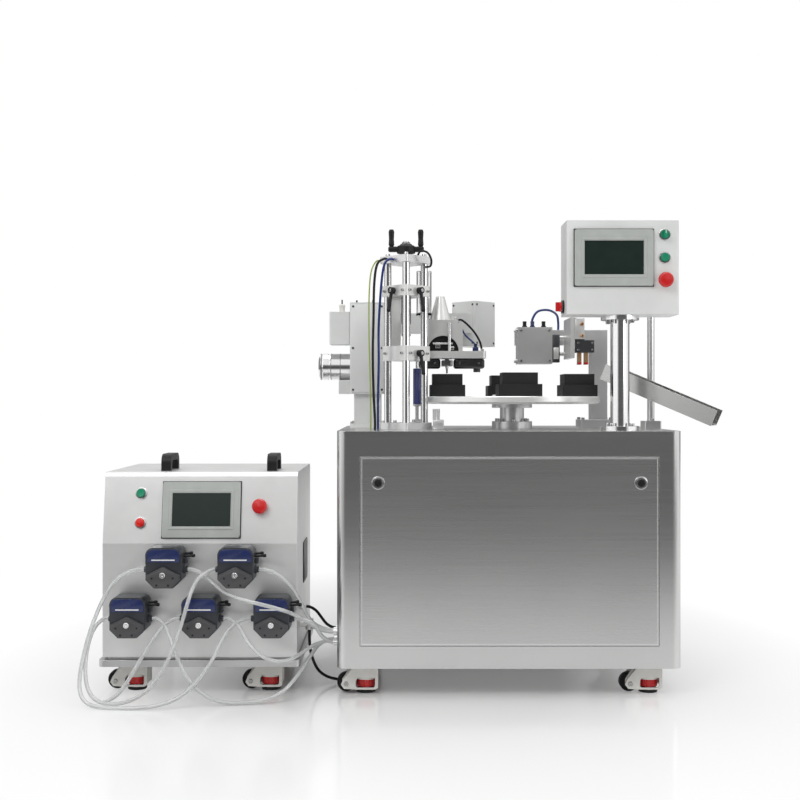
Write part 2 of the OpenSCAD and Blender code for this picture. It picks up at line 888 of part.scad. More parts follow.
rail_w = 16;
rail_t = 8;
slide_z0 = unload_block_at[2] + 14;
slide_h = 116;
slide_lip = 24;
module unload_slide() {
    rod_y0 = unload_block_at[1] + unload_block[1] / 2;
    plate_y0 = grip_y - slide_lip;
    color("silver") {
        for (z = rod_zs)
            translate([unload_block_at[0] + 20, rod_y0, z])
                rod_x(rod_r, slide_plate_x - unload_block_at[0] - 20 + eps);
        translate([slide_plate_x, plate_y0, slide_z0])
            cube([slide_plate_t, rod_y0 + 14 - plate_y0, slide_h]);
        translate([slide_plate_x + slide_plate_t - eps, grip_y - rail_w / 2, grip_z + 12])
            cube([rail_t + eps, rail_w, slide_z0 + slide_h - grip_z - 12]);
    }
}

grip_size = [52, 44, 35];
tongue_w = 12;
tongue_h = 10;
module unload_lift() {
    x0 = slide_plate_x + slide_plate_t + air;
    color("dimgray")
        difference() {
            union() {
                translate([grip_x - grip_size[0] / 2 + 4, grip_y - grip_size[1] / 2, grip_z])
                    cube(grip_size);
                translate([x0, grip_y - 22, grip_z + grip_size[2] - eps])
                    cube([28, 44, 62]);
            }
            translate([x0 - 20, grip_y - rail_w / 2 - air, grip_z - 1])
                cube([20 + rail_t, rail_w + 2 * air, 200]);
            translate([grip_x - 100, grip_y - tongue_w / 2 - air, grip_z - 1])
                cube([200, tongue_w + 2 * air, tongue_h + 1 + air]);
        }
}

finger_gap = 5;
finger_t = 9;
module finger(side) {
    color("goldenrod")
        translate([grip_x, grip_y, finger_z]) {
            translate([side * (finger_gap + finger_t / 2) - finger_t / 2, -15, 0])
                cube([finger_t, 30, finger_h - air]);
            translate([side * (finger_gap + finger_t / 2) - finger_t / 2, -tongue_w / 2, finger_h - air - eps])
                cube([finger_t, tongue_w, tongue_h]);
        }
}

// Middle of the chute's rear wall where it passes the slim post
strap_w = 8;
strap_h = 12;
strap_lap = 1.5;
collar_h = 24;
collar_t = 8;
strap_run = (slim_x - chute_at[0] - chute_w / 2 * sin(chute_yaw)
    - chute_h / 2 * sin(chute_pitch) * cos(chute_yaw)) / (cos(chute_pitch) * cos(chute_yaw));
strap_z = chute_at[2] - strap_run * sin(chute_pitch) + chute_h / 2 * cos(chute_pitch);
strap_y = chute_at[1] - strap_run * cos(chute_pitch) * sin(chute_yaw) + chute_w / 2 * cos(chute_yaw)
    - chute_h / 2 * sin(chute_pitch) * sin(chute_yaw) - strap_lap;

module chute() {
    color("silver")
        difference() {
            union() {
                translate(chute_at)
                    rotate([0, chute_pitch, -chute_yaw])
                        difference() {
                            translate([0, -chute_w / 2, 0])
                                cube([chute_l, chute_w, chute_h]);
                            translate([-1, chute_t - chute_w / 2, chute_t])
                                cube([chute_l + 2, chute_w - 2 * chute_t, chute_h]);
                        }
                // Clamp and strap that hold the chute to the slim post
                translate([slim_x, slim_y, strap_z - collar_h / 2])
                    cylinder(r = slim_r + collar_t, h = collar_h);
                translate([slim_x - strap_w / 2, strap_y, strap_z - strap_h / 2])
                    cube([strap_w, slim_y - slim_r - collar_t / 2 - strap_y, strap_h]);
            }
            translate([slim_x, slim_y, top_z])
                cylinder(r = slim_r + run_gap, h = slim_h);
        }
}

// Control box on its post

module control_post() {
    flange_r = post_d;
    flange_t = 12;
    color("lightgray")
        translate([post_x, post_y, top_z]) {
            flange_ring(post_d / 2, post_d / 2 - post_wall, post_h);
            for (z = [0, post_h - flange_t])
                translate([0, 0, z])
                    flange_ring(flange_r, post_d / 2 + seam, flange_t);
        }
}

module control_box() {
    in = [box_w, box_d, box_h] - 2 * sheet_t * [1, 1, 1];
    color("gainsboro")
        difference() {
            union() {
                translate([box_x0, box_y0, box_z0])
                    rounded_slab([box_w, box_d, box_h], 5);
                for (z = button_zs)
                    translate([button_x, box_y0, z])
                        button_ring();
                translate([box_x0 - 6, side_switch_y, side_switch_z])
                    rod_x(17, 6 + eps);
            }
            translate([box_x0 + sheet_t, box_y0 + sheet_t, box_z0 + sheet_t])
                cube(in);
            translate([post_x, post_y, box_z0 - 1])
                cylinder(r = post_d / 2 - post_wall, h = sheet_t + 2);
            for (z = button_zs)
                translate([button_x, box_y0, z])
                    stem_hole();
            translate([box_x0 - 7, side_switch_y, side_switch_z])
                rod_x(6 + run_gap, 7 + 2 * sheet_t);
        }
}

// Touch panel frame, on a panel that faces -Y, centred
module hmi_bezel() {
    difference() {
        translate([-hmi_w / 2, 0, -hmi_h / 2])
            rotate([90, 0, 0])
                linear_extrude(hmi_t)
                    rounded_rect(hmi_w, hmi_h, 6);
        translate([-screen_w / 2, -hmi_t - 1, -screen_h / 2])
            cube([screen_w, screen_recess + 1, screen_h]);
    }
}

module hmi_screen() {
    translate([-screen_w / 2 + air, screen_recess - screen_t - hmi_t, -screen_h / 2 + air])
        cube([screen_w - 2 * air, screen_t, screen_h - 2 * air]);
}

pump_hmi_x = 258;
pump_hmi_s = panel_l / 2 - 6;
module at_hmis() {
    translate([hmi_x, box_y0, hmi_z])
        children();
    on_panel(pump_hmi_x, pump_hmi_s)
        children();
}

module hmi_bezels() {
    color("darkgray")
        at_hmis()
            hmi_bezel();
}

module hmi_screens() {
    color("darkslategray")
        at_hmis()
            hmi_screen();
}

// Flush push button, face to the front
module push_button() {
    translate([0, -10, 0])
        rod_y(button_r, 5.5);
    control_stem(-4.6);
}

// Mushroom head stop button
module stop_button() {
    rotate([90, 0, 0])
        rotate_extrude()
            polygon([[0, 4.5], [button_r, 4.5], [button_r, 9], [10, 13], [stop_r - 1, 14], [stop_r, 17],
                [stop_r - 1, 22], [stop_r - 5, 26], [0, 28]]);
    control_stem(-4.6);
}

module start_selector() {
    color("green")
        translate([button_x, box_y0, button_zs[0]]) {
            translate([0, -9, 0])
                rod_y(button_r, 4.5);
            translate([-4, -18, -10])
                cube([8, 10, 20]);
            control_stem(-4.6);
        }
}

module run_button() {
    color("green")
        translate([button_x, box_y0, button_zs[1]])
            push_button();
}

module main_stop() {
    color("red")
        translate([button_x, box_y0, button_zs[2]])
            stop_button();
}

module side_switch() {
    color("red")
        translate([box_x0 - 6, side_switch_y, side_switch_z]) {
            translate([-6 - air, 0, 0])
                rod_x(13, 6);
            translate([-15 - air, -4, -12])
                cube([10, 8, 24]);
            translate([-air - eps, 0, 0])
                rod_x(6, 14);
        }
}

// Drives: hollow-shaft index gear motor under the table, pump motors behind the heads
module drive_motors() {
    gear = [120, 120, 70];
    color("slategray") {
        difference() {
            union() {
                translate([table_x - gear[0] / 2, table_y - gear[1] / 2, top_z - sheet_t - gear[2]])
                    rounded_slab(gear, 10);
                translate([table_x + gear[0] / 2 - eps, table_y, top_z - sheet_t - gear[2] / 2])
                    rod_x(32, 130);
            }
            translate([table_x, table_y, top_z - sheet_t - gear[2] - 1])
                cylinder(r = spindle_r + run_gap, h = gear[2] + 2);
        }
        for (p = head_at)
            translate([p[0], pump_y0 + sheet_t, p[1]]) {
                rod_y(30, 90);
                translate([0, -sheet_t - 20, 0])
                    rod_y(shaft_r, sheet_t + 20 + eps);
            }
    }
}

module machine_hoses() {
    color("royalblue")
        for (r = air_routes)
            swept_tube(r, air_tube_d, 8);
}

// Pump unit

top_r = 14;
pump_top_y = (pump_h - pump_front_h) * tan(pump_tilt);

// Points on an arc from one angle to another
function arc(c, r, from, to) = [
    for (k = [0:8])
        c + r * [cos(from + (to - from) * k / 8), sin(from + (to - from) * k / 8)]
];

// Side profile, inset by a sheet thickness for the inside: upright lower front, tilted upper front,
// round top edges
module pump_profile(inset) {
    r = top_r - inset;
    back = [pump_d - top_r, pump_h - top_r];
    front = [pump_top_y + top_r * (1 - sin(pump_tilt)) / cos(pump_tilt), pump_h - top_r];
    polygon(concat([[inset, inset], [pump_d - inset, inset]], arc(back, r, 0, 90),
        arc(front, r, 90, 180 - pump_tilt), [[inset, pump_front_h]]));
}

elbow_y = 150;
elbow_z = 165;
elbow_reach = 24;
elbow_r = 11;
gland_y = 190;
gland_z = 205;
pump_button_x = 97;
pump_stop_x = 412;
pump_lamp_s = panel_l / 2 - 40;
pump_button_s = panel_l / 2 + 38;
pump_stop_s = panel_l / 2 + 2;

module pump_cabinet() {
    t = sheet_t;
    color("lightgray")
        difference() {
            union() {
                translate([pump_x0, pump_y0, pump_z0])
                    rotate([90, 0, 90])
                        linear_extrude(pump_w)
                            pump_profile(0);
                on_panel(pump_button_x, pump_button_s)
                    button_ring();
                on_panel(pump_stop_x, pump_stop_s)
                    button_ring();
            }
            translate([pump_x0 + t, pump_y0, pump_z0])
                rotate([90, 0, 90])
                    linear_extrude(pump_w - 2 * t)
                        pump_profile(t);
            on_panel(pump_button_x, pump_button_s)
                stem_hole();
            on_panel(pump_stop_x, pump_stop_s)
                stem_hole();
            for (p = head_at)
                translate([p[0], pump_y0 - 1, p[1]])
                    rod_y(shaft_r + 3, t + 2);
        }
    // Elbow gland and straight gland on the right wall
    color("black") {
        translate([seam - unit_gap, elbow_y, elbow_z])
            rod_x(elbow_r - 2, elbow_reach - seam);
        translate([elbow_reach - unit_gap, elbow_y, elbow_z - 15])
            cylinder(r = elbow_r, h = 28);
        translate([seam - unit_gap, gland_y, gland_z])
            rod_x(cable_d, wall_port_l - seam);
    }
}

module pump_tray() {
    w = pump_w + 2 * tray_lip;
    d = pump_d + 2 * tray_lip;
    color("gray") {
        translate([pump_x0 - tray_lip, pump_y0 - tray_lip, castor_h])
            rounded_slab([w, d, pump_tray_h - tray_gap], 12);
        translate([pump_x0 + tray_lip, pump_y0 + tray_lip, castor_h + pump_tray_h - tray_gap - eps])
            rounded_slab([pump_w - 2 * tray_lip, pump_d - 2 * tray_lip, tray_gap + eps], 12);
        castor_mounts([for (k = [4:7]) castor_at[k]]);
    }
}

handle_l = 120;
handle_h = 45;
handle_w = 26;
handle_xs = [151, 436];
module pump_handles() {
    bar = 18;
    color("black")
        for (x = handle_xs)
            translate([pump_x0 + x - handle_w / 2, pump_y0 + pump_top_y + 45, pump_z0 + pump_h])
                rotate([90, 0, 90])
                    linear_extrude(handle_w)
                        translate([0, -handle_h])
                            difference() {
                                rounded_rect(handle_l, 2 * handle_h, 24);
                                translate([bar, -1])
                                    rounded_rect(handle_l - 2 * bar, 2 * handle_h - bar + 1, 14);
                                translate([-1, -1])
                                    square([handle_l + 2, handle_h + 1]);
                            }
}

// Face outline of a pump head: round top, cut lower corners
module head_outline(w, h, cut) {
    r = 18;
    polygon([[-w / 2 + cut, -h / 2], [w / 2 - cut, -h / 2], [w / 2, -h / 2 + cut], [w / 2, h / 2 - r],
        [w / 2 - r, h / 2 - r], [r - w / 2, h / 2 - r], [-w / 2, h / 2 - r], [-w / 2, -h / 2 + cut]]);
    translate([r - w / 2, h / 2 - r])
        square([w - 2 * r, r]);
    for (side = [-1, 1])
        translate([side * (w / 2 - r), h / 2 - r])
            circle(r);
}

// Chevron cover on the lower half of a pump head
module head_chevron() {
    h = head_h / 2;
    w = head_w / 2;
    polygon([[-w + 26, -h + 2], [w - 26, -h + 2], [w - 3, -h + 24], [w - 3, -4], [24, -4], [12, 8],
        [-12, 8], [-24, -4], [3 - w, -4], [3 - w, -h + 24]]);
}

module pump_head() {
    mount_t = 14;
    cover_t = 12;
    body_t = head_d - mount_t - cover_t;
    difference() {
        union() {
            rotate([90, 0, 0]) {
                linear_extrude(mount_t)
                    translate([-34, -34])
                        rounded_rect(68, 68, 8);
                translate([0, 0, mount_t - eps])
                    linear_extrude(body_t + eps)
                        head_outline(head_w, head_h, 22);
                translate([0, 0, mount_t + body_t - eps])
                    linear_extrude(cover_t + eps)
                        head_chevron();
            }
            for (side = [-1, 1])
                translate([side < 0 ? -head_w / 2 - port_l : head_w / 2 - eps, -port_depth, -port_drop])
                    rod_x(hose_d / 2 + 3, port_l + eps);
            // Release lever on the right side
            translate([head_w / 2 - eps, -50, 8])
                cube([9, 26, 12]);
        }
        translate([0, -21, 0])
            rod_y(shaft_r + run_gap, 22);
    }
}

module pump_heads() {
    color("midnightblue")
        for (p = head_at)
            translate([p[0], pump_y0, p[1]])
                pump_head();
}

module pump_button() {
    color("green")
        on_panel(pump_button_x, pump_button_s)
            push_button();
}

module pump_stop() {
    color("red")
        on_panel(pump_stop_x, pump_stop_s)
            stop_button();
}

module pilot_lamp() {
    color("red")
        on_panel(pump_button_x, pump_lamp_s)
            rotate([90, 0, 0])
                rotate_extrude()
                    polygon([[0, 0], [button_ring_r, 0], [button_ring_r, 4], [button_r, 5], [button_r, 9],
                        [button_r - 3, 12], [0, 13]]);
}

// Castors

module castor_frame(k) {
    p = castor_at[k];
    hub_top = castor_h - plate_t - air;
    axle_z = castor_wheel_r + wheel_lift;
    cheek_y = castor_wheel_w / 2 + 0.4;
    hub_z = axle_z + 10;
    color("ivory")
        translate([p[0], p[1], 0])
            difference() {
                union() {
                    translate([0, 0, hub_z])
                        cylinder(r = castor_hub_r, h = hub_top - hub_z);
                    // Fork cheeks from the hub to the axle
                    for (side = [-1, 1])
                        translate([0, side * (cheek_y + 2), 0])
                            rotate([90, 0, 0])
                                translate([0, 0, -2])
                                    linear_extrude(4)
                                        polygon([[0, hub_top], [-castor_trail + 12, hub_top],
                                            [-castor_trail - 11, axle_z + 9], [-castor_trail - 11, axle_z - 8],
                                            [-castor_trail + 9, axle_z - 9], [-22, hub_z], [0, hub_z]]);
                    translate([-castor_trail, -cheek_y - 2, axle_z])
                        rod_y(axle_r, 2 * cheek_y + 4);
                    // Stem, thumbwheel and foot pad on the swivel axis
                    cylinder(r = pad_r, h = pad_h);
                    cylinder(r = 8, h = hub_z + 1);
                    translate([0, 0, pad_h + 8])
                        cylinder(r = 21, h = 12);
                }
                translate([0, 0, hub_top - swivel_l - air])
                    cylinder(r = swivel_r + run_gap, h = swivel_l + 1 + air);
                // Room for the wheel in the hub
                translate([-castor_trail, -cheek_y, axle_z])
                    difference() {
                        rod_y(castor_wheel_r + 3, 2 * cheek_y);
                        translate([0, -1, 0])
                            rod_y(axle_r, 2 * cheek_y + 2);
                    }
            }
}

module castor_wheel(k) {
    p = castor_at[k];
    r = castor_wheel_r;
    w = castor_wheel_w / 2;
    color("black")
        translate([p[0] - castor_trail, p[1], r + wheel_lift])
            rotate([90, 0, 0])
                rotate_extrude()
                    polygon([[axle_r + run_gap, -w], [r - 12, -w], [r - 9, 3 - w], [r - 5, 3 - w], [r - 3, -w],
                        [r, 4 - w], [r, w - 4], [r - 3, w], [r - 5, w - 3], [r - 9, w - 3], [r - 12, w],
                        [axle_r + run_gap, w]]);
}

// Free hoses and cables

module product_hoses() {
    color("aliceblue")
        for (r = hose_routes)
            swept_tube(r, hose_d, 8);
}

module link_cables() {
    color("black")
        for (r = cable_routes)
            swept_tube(r, cable_d, 8);
}

// The whole part is drawn round its own origin
module placed() {
    translate(-origin)
        children();
}

placed() cabinet_shell();
placed() front_door();
placed() hub_column();
placed() turntable_disc();
placed() tube_nests();
placed() lift_plates();
placed() lift_posts();
placed() lift_carriage();
placed() lift_screw();
placed() handwheel();
placed() needle_block();
placed() sealing_housing();
placed() transducer_barrel();
placed() rear_housing();
placed() unload_stand();
placed() unload_slide();
placed() unload_lift();
placed() chute();
placed() control_post();
placed() control_box();
placed() hmi_bezels();
placed() hmi_screens();
placed() start_selector();
placed() run_button();
placed() main_stop();
placed() side_switch();
placed() drive_motors();
placed() machine_hoses();
placed() pump_cabinet();
placed() pump_tray();
placed() pump_handles();
placed() pump_heads();
placed() pump_button();
placed() pump_stop();
placed() pilot_lamp();
placed() product_hoses();
placed() link_cables();
placed() door_lock(lock_xs[0]);  // door_lock_left
placed() door_lock(lock_xs[1]);  // door_lock_right
placed() finger(-1);  // finger_left
placed() finger(1);  // finger_right
for (k = [0:2])
    placed() clamp_lever(k);
for (k = [0:7]) {
    placed() castor_frame(k);
    placed() castor_wheel(k);
}
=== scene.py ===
import json
import math

import bmesh
import bpy
from mathutils import Matrix, Vector


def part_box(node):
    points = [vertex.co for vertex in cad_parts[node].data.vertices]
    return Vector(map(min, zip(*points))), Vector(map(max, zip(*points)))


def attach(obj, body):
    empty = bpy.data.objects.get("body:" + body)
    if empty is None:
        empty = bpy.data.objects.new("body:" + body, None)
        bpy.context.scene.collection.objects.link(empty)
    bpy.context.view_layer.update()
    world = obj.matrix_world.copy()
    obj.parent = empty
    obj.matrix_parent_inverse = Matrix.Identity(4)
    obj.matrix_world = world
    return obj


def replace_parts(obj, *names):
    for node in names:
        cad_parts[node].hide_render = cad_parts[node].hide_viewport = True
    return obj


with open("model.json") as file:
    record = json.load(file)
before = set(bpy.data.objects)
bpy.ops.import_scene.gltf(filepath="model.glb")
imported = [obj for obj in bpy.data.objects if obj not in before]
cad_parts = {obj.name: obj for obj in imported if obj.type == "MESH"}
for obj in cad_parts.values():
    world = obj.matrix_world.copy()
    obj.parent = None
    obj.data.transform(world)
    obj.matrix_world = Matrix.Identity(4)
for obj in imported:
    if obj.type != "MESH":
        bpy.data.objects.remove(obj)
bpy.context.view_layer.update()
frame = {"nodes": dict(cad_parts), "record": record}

MM = 0.001
# The cabinet's left front edge, at the floor, is the datum of all places below, which are in millimetres
DOOR_MARGIN = 61
door_low, door_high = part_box("front_door")
datum = Vector((door_low.x - DOOR_MARGIN * MM, door_low.y, 0))


def at(x, y, z):
    """Place in the row frame, in metres, of a point given from the datum in millimetres."""
    return datum + Vector((x, y, z)) * MM


def new_object(name, data):
    """Object of a mesh, curve, lamp or camera, in the scene."""
    obj = bpy.data.objects.new(name, data)
    bpy.context.scene.collection.objects.link(obj)
    return obj


# Shader tools

mats = {}


def add(tree, kind, inputs=None, **settings):
    """New shader node with its settings and input values or links."""
    made = tree.nodes.new(kind)
    for key, value in settings.items():
        setattr(made, key, value)
    for key, value in (inputs or {}).items():
        if isinstance(value, bpy.types.NodeSocket):
            tree.links.new(value, made.inputs[key])
        else:
            made.inputs[key].default_value = value
    return made


def math_node(tree, operation, first, second=0.0):
    return add(tree, "ShaderNodeMath", {0: first, 1: second}, operation=operation).outputs["Value"]


def vector_node(tree, operation, first, second=(0, 0, 0), result="Vector"):
    return add(tree, "ShaderNodeVectorMath", {0: first, 1: second}, operation=operation).outputs[result]


def axis_of(tree, vector, axis):
    return add(tree, "ShaderNodeSeparateXYZ", {"Vector": vector}).outputs[axis]


def between(tree, factor, first, second):
    """Number between two numbers."""
    return add(tree, "ShaderNodeMix", {0: factor, 2: first, 3: second}).outputs[0]


def noise(tree, stretch, detail):
    """Noise in object space, with one scale or one for each axis, as a number from 0 to 1."""
    scale = stretch if isinstance(stretch, tuple) else (stretch,) * 3
    place = add(tree, "ShaderNodeTexCoord").outputs["Object"]
    mapped = add(tree, "ShaderNodeMapping", {"Vector": place, "Scale": scale}).outputs["Vector"]
    return add(tree, "ShaderNodeTexNoise", {"Vector": mapped, "Scale": 1.0, "Detail": detail}).outputs["Fac"]


def spread(tree, factor, low, high, start=0.3, end=0.7):
    """Number that runs from low to high as the factor runs from start to end."""
    made = add(tree, "ShaderNodeMapRange", {"Value": factor, "From Min": start, "From Max": end,
                                            "To Min": low, "To Max": high})
    return made.outputs["Result"]


def shade(colour, factor):
    """A colour made lighter or darker."""
    return tuple(min(1.0, c * factor) for c in colour)


def mottled(tree, factor, colour, low, high=1.0, start=0.3, end=0.7):
    """Colour that runs from a darker to a lighter shade as the factor runs from start to end."""
    share = spread(tree, factor, 0.0, 1.0, start, end)
    made = add(tree, "ShaderNodeMix", {"Factor": share}, data_type="RGBA")
    made.inputs[6].default_value = (*shade(colour, low), 1)
    made.inputs[7].default_value = (*shade(colour, high), 1)
    return made.outputs[2]


def new_material(name, **values):
    """Material of a name, with a principled shader and constants set on the shader's own sockets."""
    mat = bpy.data.materials.new(name)
    mat.use_nodes = True
    shader = mat.node_tree.nodes["Principled BSDF"]
    for key, value in values.items():
        shader.inputs[key.replace("_", " ")].default_value = value
    mats[name] = mat
    return mat.node_tree, shader


def finish_normal(tree, shader, height, strength, depth, edge):
    """Soft edges of a given radius, with a fine relief on top."""
    soft = add(tree, "ShaderNodeBevel", {"Radius": edge}, samples=4).outputs["Normal"]
    relief = add(tree, "ShaderNodeBump", {"Height": height, "Strength": strength, "Distance": depth,
                                          "Normal": soft})
    tree.links.new(relief.outputs["Normal"], shader.inputs["Normal"])
    return soft


def edge_colour(tree, shader, soft, base, edge):
    """Colour of the flats that turns to another colour on the edges, from the soft edge normal."""
    flat = add(tree, "ShaderNodeNewGeometry").outputs["True Normal"]
    dot = vector_node(tree, "DOT_PRODUCT", soft, flat, "Value")
    mask = spread(tree, dot, 1.0, 0.0, 0.75, 0.99)
    mix = add(tree, "ShaderNodeMix", {"Factor": mask, 6: base}, data_type="RGBA")
    mix.inputs[7].default_value = (*edge, 1)
    tree.links.new(mix.outputs[2], shader.inputs["Base Color"])


def roughen(tree, shader, factor, low, high, start=0.3, end=0.7):
    """Roughness that runs with a factor."""
    tree.links.new(spread(tree, factor, low, high, start, end), shader.inputs["Roughness"])


# Materials

def brushed(name, colour, rough):
    """Brushed metal: long streaks from left to right, cloudy patches and brighter edges."""
    tree, shader = new_material(name, Metallic=1.0)
    fine = noise(tree, (2.5, 1100.0, 1100.0), 4.0)
    broad = noise(tree, (1.5, 160.0, 160.0), 2.0)
    both = math_node(tree, "ADD", fine, spread(tree, broad, 0.45, 0.55))
    base = mottled(tree, both, colour, 0.975, 1.025, 0.7, 1.3)
    cloud = spread(tree, noise(tree, 2.6, 2.0), 0.0, 0.35)
    cloudy = add(tree, "ShaderNodeMix", {"Factor": cloud, 6: base}, data_type="RGBA", blend_type="MULTIPLY")
    cloudy.inputs[7].default_value = (0.80, 0.80, 0.81, 1)
    soft = finish_normal(tree, shader, fine, 0.03, 0.0004, 0.0012)
    edge_colour(tree, shader, soft, cloudy.outputs[2], shade(colour, 1.35))
    roughen(tree, shader, both, rough - 0.02, rough + 0.03, 0.7, 1.3)


def machined(name, colour, rough, metallic=1.0, edge=0.0008):
    """Fine machined or anodised metal with faint blotches."""
    tree, shader = new_material(name, Metallic=metallic)
    fine = noise(tree, 900.0, 2.0)
    base = mottled(tree, noise(tree, 14, 2.0), colour, 0.95, 1.03)
    soft = finish_normal(tree, shader, fine, 0.01, 0.0003, edge)
    edge_colour(tree, shader, soft, base, shade(colour, 1.25))
    roughen(tree, shader, fine, rough - 0.01, rough + 0.03)


def turned(name, colour, centre):
    """Metal turned on a lathe: fine rings about an upright axis, on its level faces."""
    tree, shader = new_material(name, Metallic=0.5)
    place = add(tree, "ShaderNodeTexCoord").outputs["Object"]
    level = vector_node(tree, "MULTIPLY", vector_node(tree, "SUBTRACT", place, centre), (1, 1, 0))
    radius = vector_node(tree, "LENGTH", level, result="Value")
    ripple = add(tree, "ShaderNodeTexNoise", {"W": radius, "Scale": 420.0, "Detail": 3.0},
                 noise_dimensions="1D").outputs["Fac"]
    normal = add(tree, "ShaderNodeNewGeometry").outputs["True Normal"]
    rings = between(tree, math_node(tree, "ABSOLUTE", axis_of(tree, normal, "Z")), 0.5, ripple)
    finish_normal(tree, shader, rings, 0.015, 0.0003, 0.0010)
    tree.links.new(mottled(tree, rings, colour, 0.97), shader.inputs["Base Color"])
    roughen(tree, shader, rings, 0.23, 0.32)


def polished(name, colour, rough):
    """Ground and polished rod: bright, with hair-fine rings."""
    tree, shader = new_material(name, Metallic=1.0)
    rings = noise(tree, (3.0, 3.0, 900.0), 2.0)
    finish_normal(tree, shader, rings, 0.03, 0.0002, 0.0006)
    tree.links.new(mottled(tree, rings, colour, 0.93), shader.inputs["Base Color"])
    roughen(tree, shader, rings, rough, rough + 0.08)


def painted(name, colour):
    """Powder coat: fine orange peel, faint dirt, edges rubbed a little paler."""
    tree, shader = new_material(name, Coat_Weight=0.15, Coat_Roughness=0.3)
    peel = noise(tree, 700, 1.0)
    dirt = noise(tree, 9, 4.0)
    base = mottled(tree, dirt, colour, 0.93, 1.03)
    soft = finish_normal(tree, shader, peel, 0.12, 0.0003, 0.0015)
    edge_colour(tree, shader, soft, base, shade(colour, 1.18))
    roughen(tree, shader, dirt, 0.33, 0.46)


def moulded(name, colour, rough=0.42, lift=1.7, gloss=0.5, grain=900.0):
    """Moulded plastic or rubber: fine grain, uneven sheen and paler edges."""
    tree, shader = new_material(name, Specular_IOR_Level=gloss)
    fine = noise(tree, grain, 2.0)
    patch = noise(tree, 30, 3.0)
    base = mottled(tree, patch, colour, 0.95, 1.05)
    soft = finish_normal(tree, shader, fine, 0.15, 0.0002, 0.0008)
    edge_colour(tree, shader, soft, base, shade(colour, lift))
    roughen(tree, shader, patch, rough - 0.03, rough + 0.05)


def clear_plastic(name, colour):
    """Milky clear hose."""
    tree, shader = new_material(name, IOR=1.42, Transmission_Weight=0.55)
    cloud = noise(tree, 40, 3.0)
    tree.links.new(mottled(tree, cloud, colour, 0.92), shader.inputs["Base Color"])
    roughen(tree, shader, cloud, 0.13, 0.26)


TABLE_AT = (487, 320)
BLACK = (0.012, 0.012, 0.013)
brushed("cabinet_steel", (0.66, 0.66, 0.655), 0.24)
brushed("door_steel", (0.62, 0.62, 0.615), 0.28)
brushed("chute_steel", (0.56, 0.56, 0.55), 0.22)
brushed("tray_steel", (0.55, 0.55, 0.55), 0.35)
machined("screw_steel", (0.35, 0.35, 0.36), 0.25)
machined("needle_steel", (0.22, 0.22, 0.23), 0.30)
machined("machined_aluminium", (0.68, 0.68, 0.68), 0.30, 0.75)
machined("arm_aluminium", (0.72, 0.72, 0.71), 0.30, 0.55)
machined("dark_anodised", (0.075, 0.075, 0.08), 0.35, 0.7)
machined("brass", (0.62, 0.36, 0.18), 0.30)
machined("lock_metal", (0.40, 0.40, 0.40), 0.25)
machined("pump_steel", (0.74, 0.74, 0.735), 0.36, 0.70, 0.0015)
turned("table_aluminium", (0.86, 0.86, 0.85), at(*TABLE_AT, 0))
polished("polished_rod", (0.78, 0.78, 0.78), 0.09)
polished("chrome", (0.82, 0.82, 0.82), 0.06)
painted("motor_iron", (0.18, 0.20, 0.23))
painted("pale_paint", (0.70, 0.71, 0.70))
moulded("black_plastic", BLACK, gloss=0.22)
moulded("nest_black", BLACK, 0.5, gloss=0.35)
moulded("castor_black", BLACK, 0.55, gloss=0.25)
moulded("cable_rubber", (0.010, 0.010, 0.011), 0.5, gloss=0.22)
moulded("pump_plastic", (0.022, 0.025, 0.032), 0.35)
moulded("cover_plastic", (0.055, 0.055, 0.058), 0.4, 2.0)
moulded("bezel_plastic", (0.40, 0.42, 0.40), 0.45, 1.25)
moulded("castor_cream", (0.72, 0.71, 0.67), 0.4, 1.15)
moulded("white_mark", (0.75, 0.75, 0.74), 0.4, 1.1)
moulded("screen_glass", (0.012, 0.022, 0.018), 0.10, grain=300.0)
moulded("green_plastic", (0.004, 0.23, 0.12), 0.28)
moulded("red_plastic", (0.55, 0.012, 0.012), 0.25, 1.3)
moulded("red_lens", (0.65, 0.015, 0.01), 0.12, 1.2)
moulded("air_tube", (0.012, 0.03, 0.16), 0.25)
moulded("band_blue", (0.012, 0.022, 0.095), 0.25, 1.4)
moulded("spring_blue", (0.07, 0.08, 0.26), 0.15, 1.3)
moulded("lead_green", (0.30, 0.38, 0.06), 0.35, 1.2)
clear_plastic("clear_hose", (0.88, 0.89, 0.89))

slot_of = {part["node"]: part["material_slot"] for part in frame["record"]["subparts"]}
for name, obj in frame["nodes"].items():
    obj.data.materials.clear()
    obj.data.materials.append(mats[slot_of[name]])


# Camera, floor and light

IMAGE_PX = 800
SENSOR = 36.0
FOCAL_PX = 1154
CAMERA_AT = (165, -3000, 775)


def make_camera():
    """Level camera straight in front of the cabinet, as in the photograph."""
    data = bpy.data.cameras.new("camera")
    data.sensor_width = SENSOR
    data.lens = FOCAL_PX / IMAGE_PX * SENSOR
    cam = new_object("camera", data)
    cam.location = at(*CAMERA_AT)
    cam.rotation_euler = (math.radians(90), 0, 0)
    bpy.context.scene.camera = cam


def seen_rays(tree):
    """1 for rays that show the background: camera, glossy and transmission rays."""
    path = add(tree, "ShaderNodeLightPath").outputs
    first = math_node(tree, "MAXIMUM", path["Is Camera Ray"], path["Is Glossy Ray"])
    return math_node(tree, "MAXIMUM", first, path["Is Transmission Ray"])


# Turn from the front, in radians, at which the side panels start, are full, start to fade and end
PANEL_START, PANEL_FULL, PANEL_FADE, PANEL_END = 0.45, 0.75, 1.6, 2.05
PANEL_LIGHT, FRONT_LIGHT, BACK_LIGHT, TOP_LIGHT = 1.1, 0.12, 0.24, 1.0
# Rise, from 0 at the horizon, at which the light above starts and is full
TOP_START, TOP_FULL = 0.12, 0.36
# Soft light from the horizon and from straight above
AMBIENT_LOW, AMBIENT_HIGH = 0.34, 0.84


